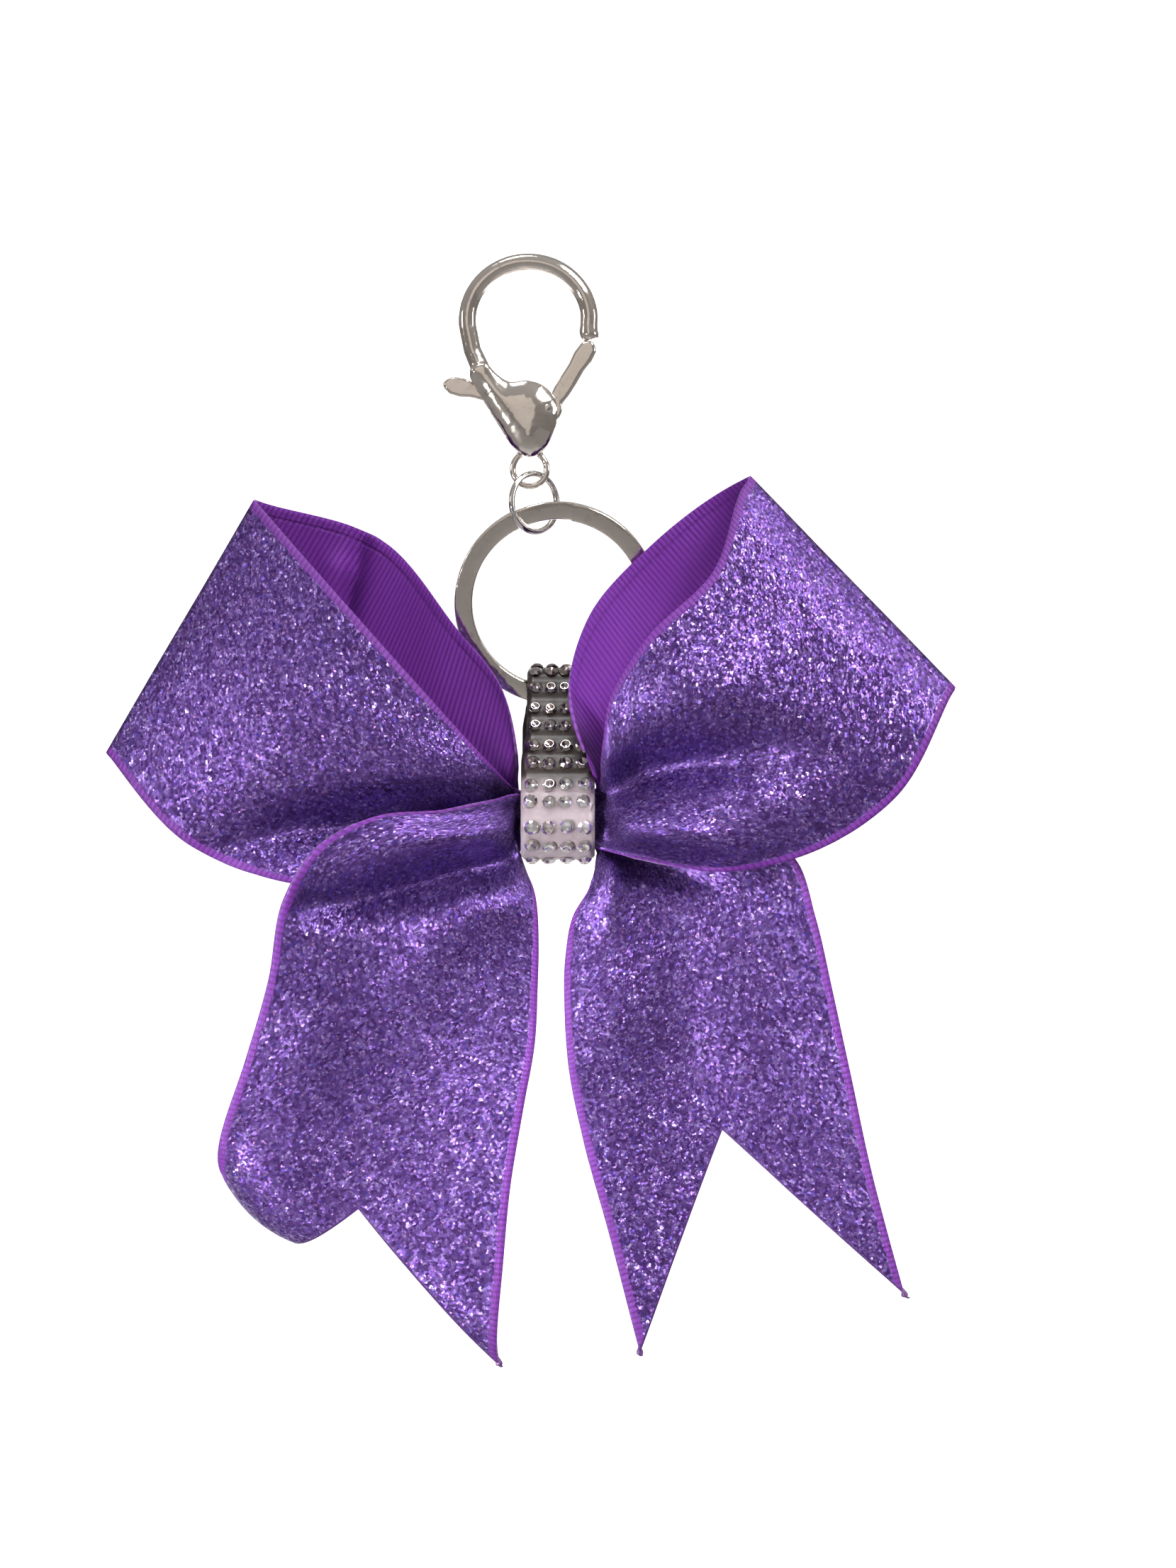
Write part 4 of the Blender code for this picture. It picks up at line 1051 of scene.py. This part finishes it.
def flow(points):
    """A smooth line through the given places, with an even pace between them."""
    points = np.array(points, float)
    spans = np.linalg.norm(np.diff(points, axis=0), axis=1)
    ahead = np.diff(points, axis=0) / spans[:, None]
    slopes = [ahead[0]]
    for index in range(1, len(spans)):
        back, front = spans[index - 1], spans[index]
        slopes.append((ahead[index] * back + ahead[index - 1] * front) / (back + front))
    slopes.append(ahead[-1])
    made = []
    for index, span in enumerate(spans):
        for t in np.arange(STEPS) / STEPS:
            made.append(
                points[index] * (1 + t * t * (2 * t - 3))
                + slopes[index] * span * t * (1 - t) ** 2
                + slopes[index + 1] * span * t * t * (t - 1)
                + points[index + 1] * t * t * (3 - 2 * t)
            )
    made.append(points[-1])
    return np.array(made)


def rolled(points):
    """Rolls what lies past the curl's start backwards."""
    along_fold = points @ np.array((-CURL_DIRECTION[2], 0.0, CURL_DIRECTION[0])) + 0.9
    rounded = CURL_ROUNDING * np.maximum(1 - (along_fold / CURL_HALF_WIDTH) ** 2, 0)
    past = points @ CURL_DIRECTION - CURL_START - rounded
    angle = np.maximum(past, 0) / CURL_RADIUS
    drawn_in = np.where(past > 0, CURL_RADIUS * np.sin(angle) - past, 0)
    moved = points + np.outer(drawn_in, CURL_DIRECTION)
    moved[:, 1] += np.where(past > 0, CURL_RADIUS * (1 - np.cos(angle)), 0)
    return moved


def smoothed(values, reach):
    window = np.hanning(2 * reach + 3)[1:-1]
    padded = np.concatenate([np.full(reach, values[0]), values, np.full(reach, values[-1])])
    return np.convolve(padded, window / window.sum(), "valid")


def ribbon_strip(name, stations, folds, node, phase, notch=0.0, curl=False):
    """A strip of the ribbon, laid through its stations and given its pleats and folds. A strip
    with no notch is a loop, which goes back into the knot."""
    first, second = (flow([s[edge] for s in stations]) for edge in (0, 1))
    bows = smoothed(np.interp(np.arange(len(first)) / STEPS, range(len(stations)),
                              [s[2] for s in stations]), 12)
    middles = (first + second) / 2
    lengths = np.concatenate([[0], np.cumsum(np.linalg.norm(np.diff(middles, axis=0), axis=1))])
    total = lengths[-1]

    def surface(place, across):
        """The cloth before its folds, by a fractional index into the lines and a share across."""
        index = np.arange(len(first))
        a = np.stack([np.interp(place, index, first[:, k]) for k in range(3)], -1)
        b = np.stack([np.interp(place, index, second[:, k]) for k in range(3)], -1)
        made = a * (1 - across)[..., None] + b * across[..., None]
        made[..., 1] -= np.interp(place, index, bows) * np.sin(math.pi * across)
        return made

    rows = int(total / LINE_SPACING)
    across = np.linspace(0, 1, LINES_ACROSS + 1)[None, :].repeat(rows + 1, 0)
    ends = total - notch * (1 - np.abs(2 * across - 1))
    run = np.linspace(0, 1, rows + 1)[:, None] * ends
    place = np.interp(run, lengths, np.arange(len(lengths)))
    cloth = surface(place, across)

    moved = np.zeros(cloth.shape[:2])
    for line, depths, spread in folds:
        stops = np.linspace(0, len(line) - 1, 90)
        at = np.interp(stops, range(len(line)), [p[0] for p in line]) * STEPS
        share = np.interp(stops, range(len(line)), [p[1] for p in line])
        depth = smoothed(np.interp(stops, range(len(line)), depths), 9)
        spine = surface(smoothed(at, 9), smoothed(share, 9))
        away = np.linalg.norm(cloth[:, :, None, :] - spine[None, None], axis=-1)
        nearest = away.argmin(-1)
        closeness = np.exp(-((away.min(-1) / spread) ** 2))
        moved += depth[nearest] * closeness
    ends_at_knot = [run] if notch else [run, total - run]
    for index, from_knot in enumerate(ends_at_knot):  # the pleats, which die away from the knot
        strength = np.clip((from_knot - 3.5) / 4.0, 0, 1)
        strength *= np.exp(-np.maximum(from_knot - 7.5, 0) / 6.5)
        moved += 0.42 * strength * np.sin(2 * math.pi * (2.6 * across) + phase + 1.7 * index)
    wander = 0.22 * np.sin(run / 5.1 + 4.0 * across + phase)
    wander *= np.sin(run / 8.3 - 5.3 * across + 2 * phase)
    wander += 0.10 * np.sin(run / 2.6 + 9.0 * across + phase)
    moved += wander * np.clip((np.minimum.reduce(ends_at_knot) - 8) / 10, 0, 1)
    cloth[..., 1] += moved
    points = cloth.reshape(-1, 3)
    if curl:
        points = rolled(points)

    wide = LINES_ACROSS + 1
    faces = [
        (r * wide + c, r * wide + c + 1, (r + 1) * wide + c + 1, (r + 1) * wide + c)
        for r in range(rows) for c in range(LINES_ACROSS)
    ]
    # the outside faces the front on the tails and on the last part of a loop
    probe = [points[i] for i in faces[int(rows * 0.8) * LINES_ACROSS + LINES_ACROSS // 2]]
    if np.cross(probe[1] - probe[0], probe[3] - probe[0])[1] > 0:
        faces = [face[::-1] for face in faces]
    mesh = bpy.data.meshes.new(name)
    mesh.from_pydata([KNOT + Vector(p) * MM for p in points], [], faces)
    uv = mesh.uv_layers.new(name=CLOTH)
    corner_verts = np.zeros(len(mesh.loops), np.int32)
    mesh.loops.foreach_get("vertex_index", corner_verts)
    flat = np.stack([run.ravel(), across.ravel() * RIBBON_WIDTH], -1)
    uv.data.foreach_set("uv", flat[corner_verts].astype(np.float32).ravel())
    from_cut = mesh.attributes.new("from_cut", "FLOAT", "POINT")
    gap = ends - run if notch else np.full(run.shape, NO_CUT)
    from_cut.data.foreach_set("value", gap.ravel().astype(np.float32))
    piece = linked(name, mesh)
    for finish in (GLITTER, GROSGRAIN, EDGE_FINISH):
        mesh.materials.append(finish)
    cloth_modifier = piece.modifiers.new("cloth", "SOLIDIFY")
    cloth_modifier.thickness, cloth_modifier.offset = CLOTH_THICKNESS, 0.0
    cloth_modifier.material_offset, cloth_modifier.material_offset_rim = 1, 2
    cloth_modifier.use_even_offset = False
    apply_all(piece)
    piece.data.shade_smooth()
    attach(piece, "bow")
    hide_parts(node)


def ribbon_bow():
    ribbon_strip("left_loop", LEFT_LOOP, LEFT_LOOP_FOLDS, "ribbon_left_loop", 0.6)
    ribbon_strip("right_loop", RIGHT_LOOP, RIGHT_LOOP_FOLDS, "ribbon_right_loop", 2.1)
    ribbon_strip("left_tail", LEFT_TAIL, LEFT_TAIL_FOLDS, "ribbon_left_tail", 3.9, 18.5, True)
    ribbon_strip("right_tail", RIGHT_TAIL, RIGHT_TAIL_FOLDS, "ribbon_right_tail", 5.2, 26.0)


def melted_beads():
    """Where a tip was sealed with a flame the cloth ran together into a small dark bead."""
    tips = (rolled(np.array([LEFT_TAIL[-1][1]]))[0], RIGHT_TAIL[-1][0], RIGHT_TAIL[-1][1])
    for number, (tip, lean) in enumerate(zip(tips, (0.25, 0.45, 0.15)), 1):
        here = tuple(KNOT + Vector(tip) * MM)
        nothing_selected()
        bpy.ops.mesh.primitive_ico_sphere_add(subdivisions=3, radius=0.46 * MM, location=here)
        piece = begin(f"melted_bead_{number}")
        bpy.ops.transform.resize(value=(1.0, 0.75, 1.15), center_override=here)
        pick(piece, lambda vert, floor=here[2]: vert.co.z > floor + 0.25 * MM, "verts")
        bpy.ops.transform.resize(value=(0.55, 0.7, 1.0), center_override=here)
        bpy.ops.transform.translate(value=(-0.4 * lean * MM, 0.0, 0.35 * MM))
        pick(piece, lambda vert, floor=here[2]: vert.co.z < floor - 0.30 * MM, "verts")
        bpy.ops.transform.translate(value=(lean * MM, 0.0, 0.0))
        close_up(80.0)
        keep(piece, "bow", "glitter_ribbon", MELTED)


# -------- stage and light


def plain_white(name, glow):
    """Pale paper that glows behind the bow, as a lit backdrop does, and is plain in front of it."""
    white = Finish(name, Roughness=0.9, Emission_Strength=glow)
    grain = white.noise(6.0, 3.0)
    x, y, z = white.split(white.place())
    behind = y.fade(0.14, 0.27) * x.size().fade(0.33, 0.48, 1.0, 0.0)
    behind = behind * z.fade(0.36, 0.50, 1.0, 0.0)
    white.paint(
        Base_Color=white.mix(grain, (0.74, 0.74, 0.74), (0.77, 0.77, 0.77)),
        Emission_Color=white.mix(behind, (0.0, 0.0, 0.0), (1.0, 1.0, 1.0)),
        Normal=white.bump(grain, 0.4 * MM, 0.1),
    )
    return white.material


FLOOR = -0.235


def studio():
    """A pale sweep: a floor that curves up into the backdrop."""
    nothing_selected()
    bpy.ops.mesh.primitive_plane_add(size=1.0, location=(0.0, 0.0, FLOOR))
    sweep = begin("studio_sweep")
    bpy.ops.transform.resize(value=(1.5, 2.6, 1.0), center_override=(0.0, -0.1, FLOOR))
    pick(sweep, lambda edge: all(v.co.y > 0.5 for v in edge.verts), "edges")
    bpy.ops.mesh.extrude_region_move(TRANSFORM_OT_translate={"value": (0.0, 0.0, 1.5)})
    pick(sweep, lambda edge: all(v.co.y > 0.5 and v.co.z < -0.2 for v in edge.verts), "edges")
    bpy.ops.mesh.bevel(offset=0.4, segments=16)
    bpy.ops.object.mode_set(mode="OBJECT")
    sweep.data.shade_smooth()
    sweep.data.materials.append(plain_white("studio_white", 1.06))


def soft_light(name, place, target, size, power, spread, colour=(1.0, 1.0, 1.0)):
    """A round panel: metres across, watts, and the degrees that its light spreads over."""
    data = bpy.data.lights.new(name, "AREA")
    data.shape, data.size, data.energy, data.color = "DISK", size, power, colour
    data.spread = math.radians(spread)
    light = linked(name, data)
    light.location = place
    light.rotation_euler = (target - light.location).to_track_quat("-Z", "Y").to_euler()


def lighting():
    tails = KNOT + Vector((-8.0, -4.0, -40.0)) * MM
    soft_light("key", (0.40, -0.40, 0.44), KNOT, 0.28, 0.26, 32, (1.0, 0.98, 0.96))
    soft_light("over", (-0.10, -0.16, 0.55), KNOT, 0.26, 0.09, 40)
    soft_light("low", (-0.40, -0.42, -0.20), tails, 0.12, 0.070, 12)
    soft_light("card", (-0.10, -0.46, 0.10), PIVOT, 0.40, 0.09, 150, (1.0, 0.90, 0.82))
    for side, x in (("left", -0.30), ("right", 0.30)):  # streaks along the sides of the metal
        soft_light(f"{side}_edge", (x, -0.12, 0.03), PIVOT, 0.10, 0.08, 150)
    world = bpy.data.worlds.new("room")
    world.use_nodes = True
    room = Nodes(world.node_tree)
    _, _, up = room.split(room.node("ShaderNodeTexCoord", out="Generated"))
    colour = room.ramp(up * 0.5 + 0.5, (0.15, (0.10, 0.095, 0.09)), (0.5, (0.20, 0.185, 0.175)),
                       (0.9, (0.34, 0.33, 0.32)))
    room.feed(world.node_tree.nodes["Background"].inputs["Color"], colour)
    bpy.context.scene.world = world


# -------- the bow, put together

clasp_casting()
clasp_gate()
thumb_spring()
key_ring()
jump_wire()
pleat_thread()
band_base()
band_end()
stone_rows()
ribbon_bow()
melted_beads()
for node, finish in (("clasp_pin", RING_STEEL), ("glue_film", GLUE)):
    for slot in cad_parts[node].material_slots:
        slot.material = finish
studio()
lighting()
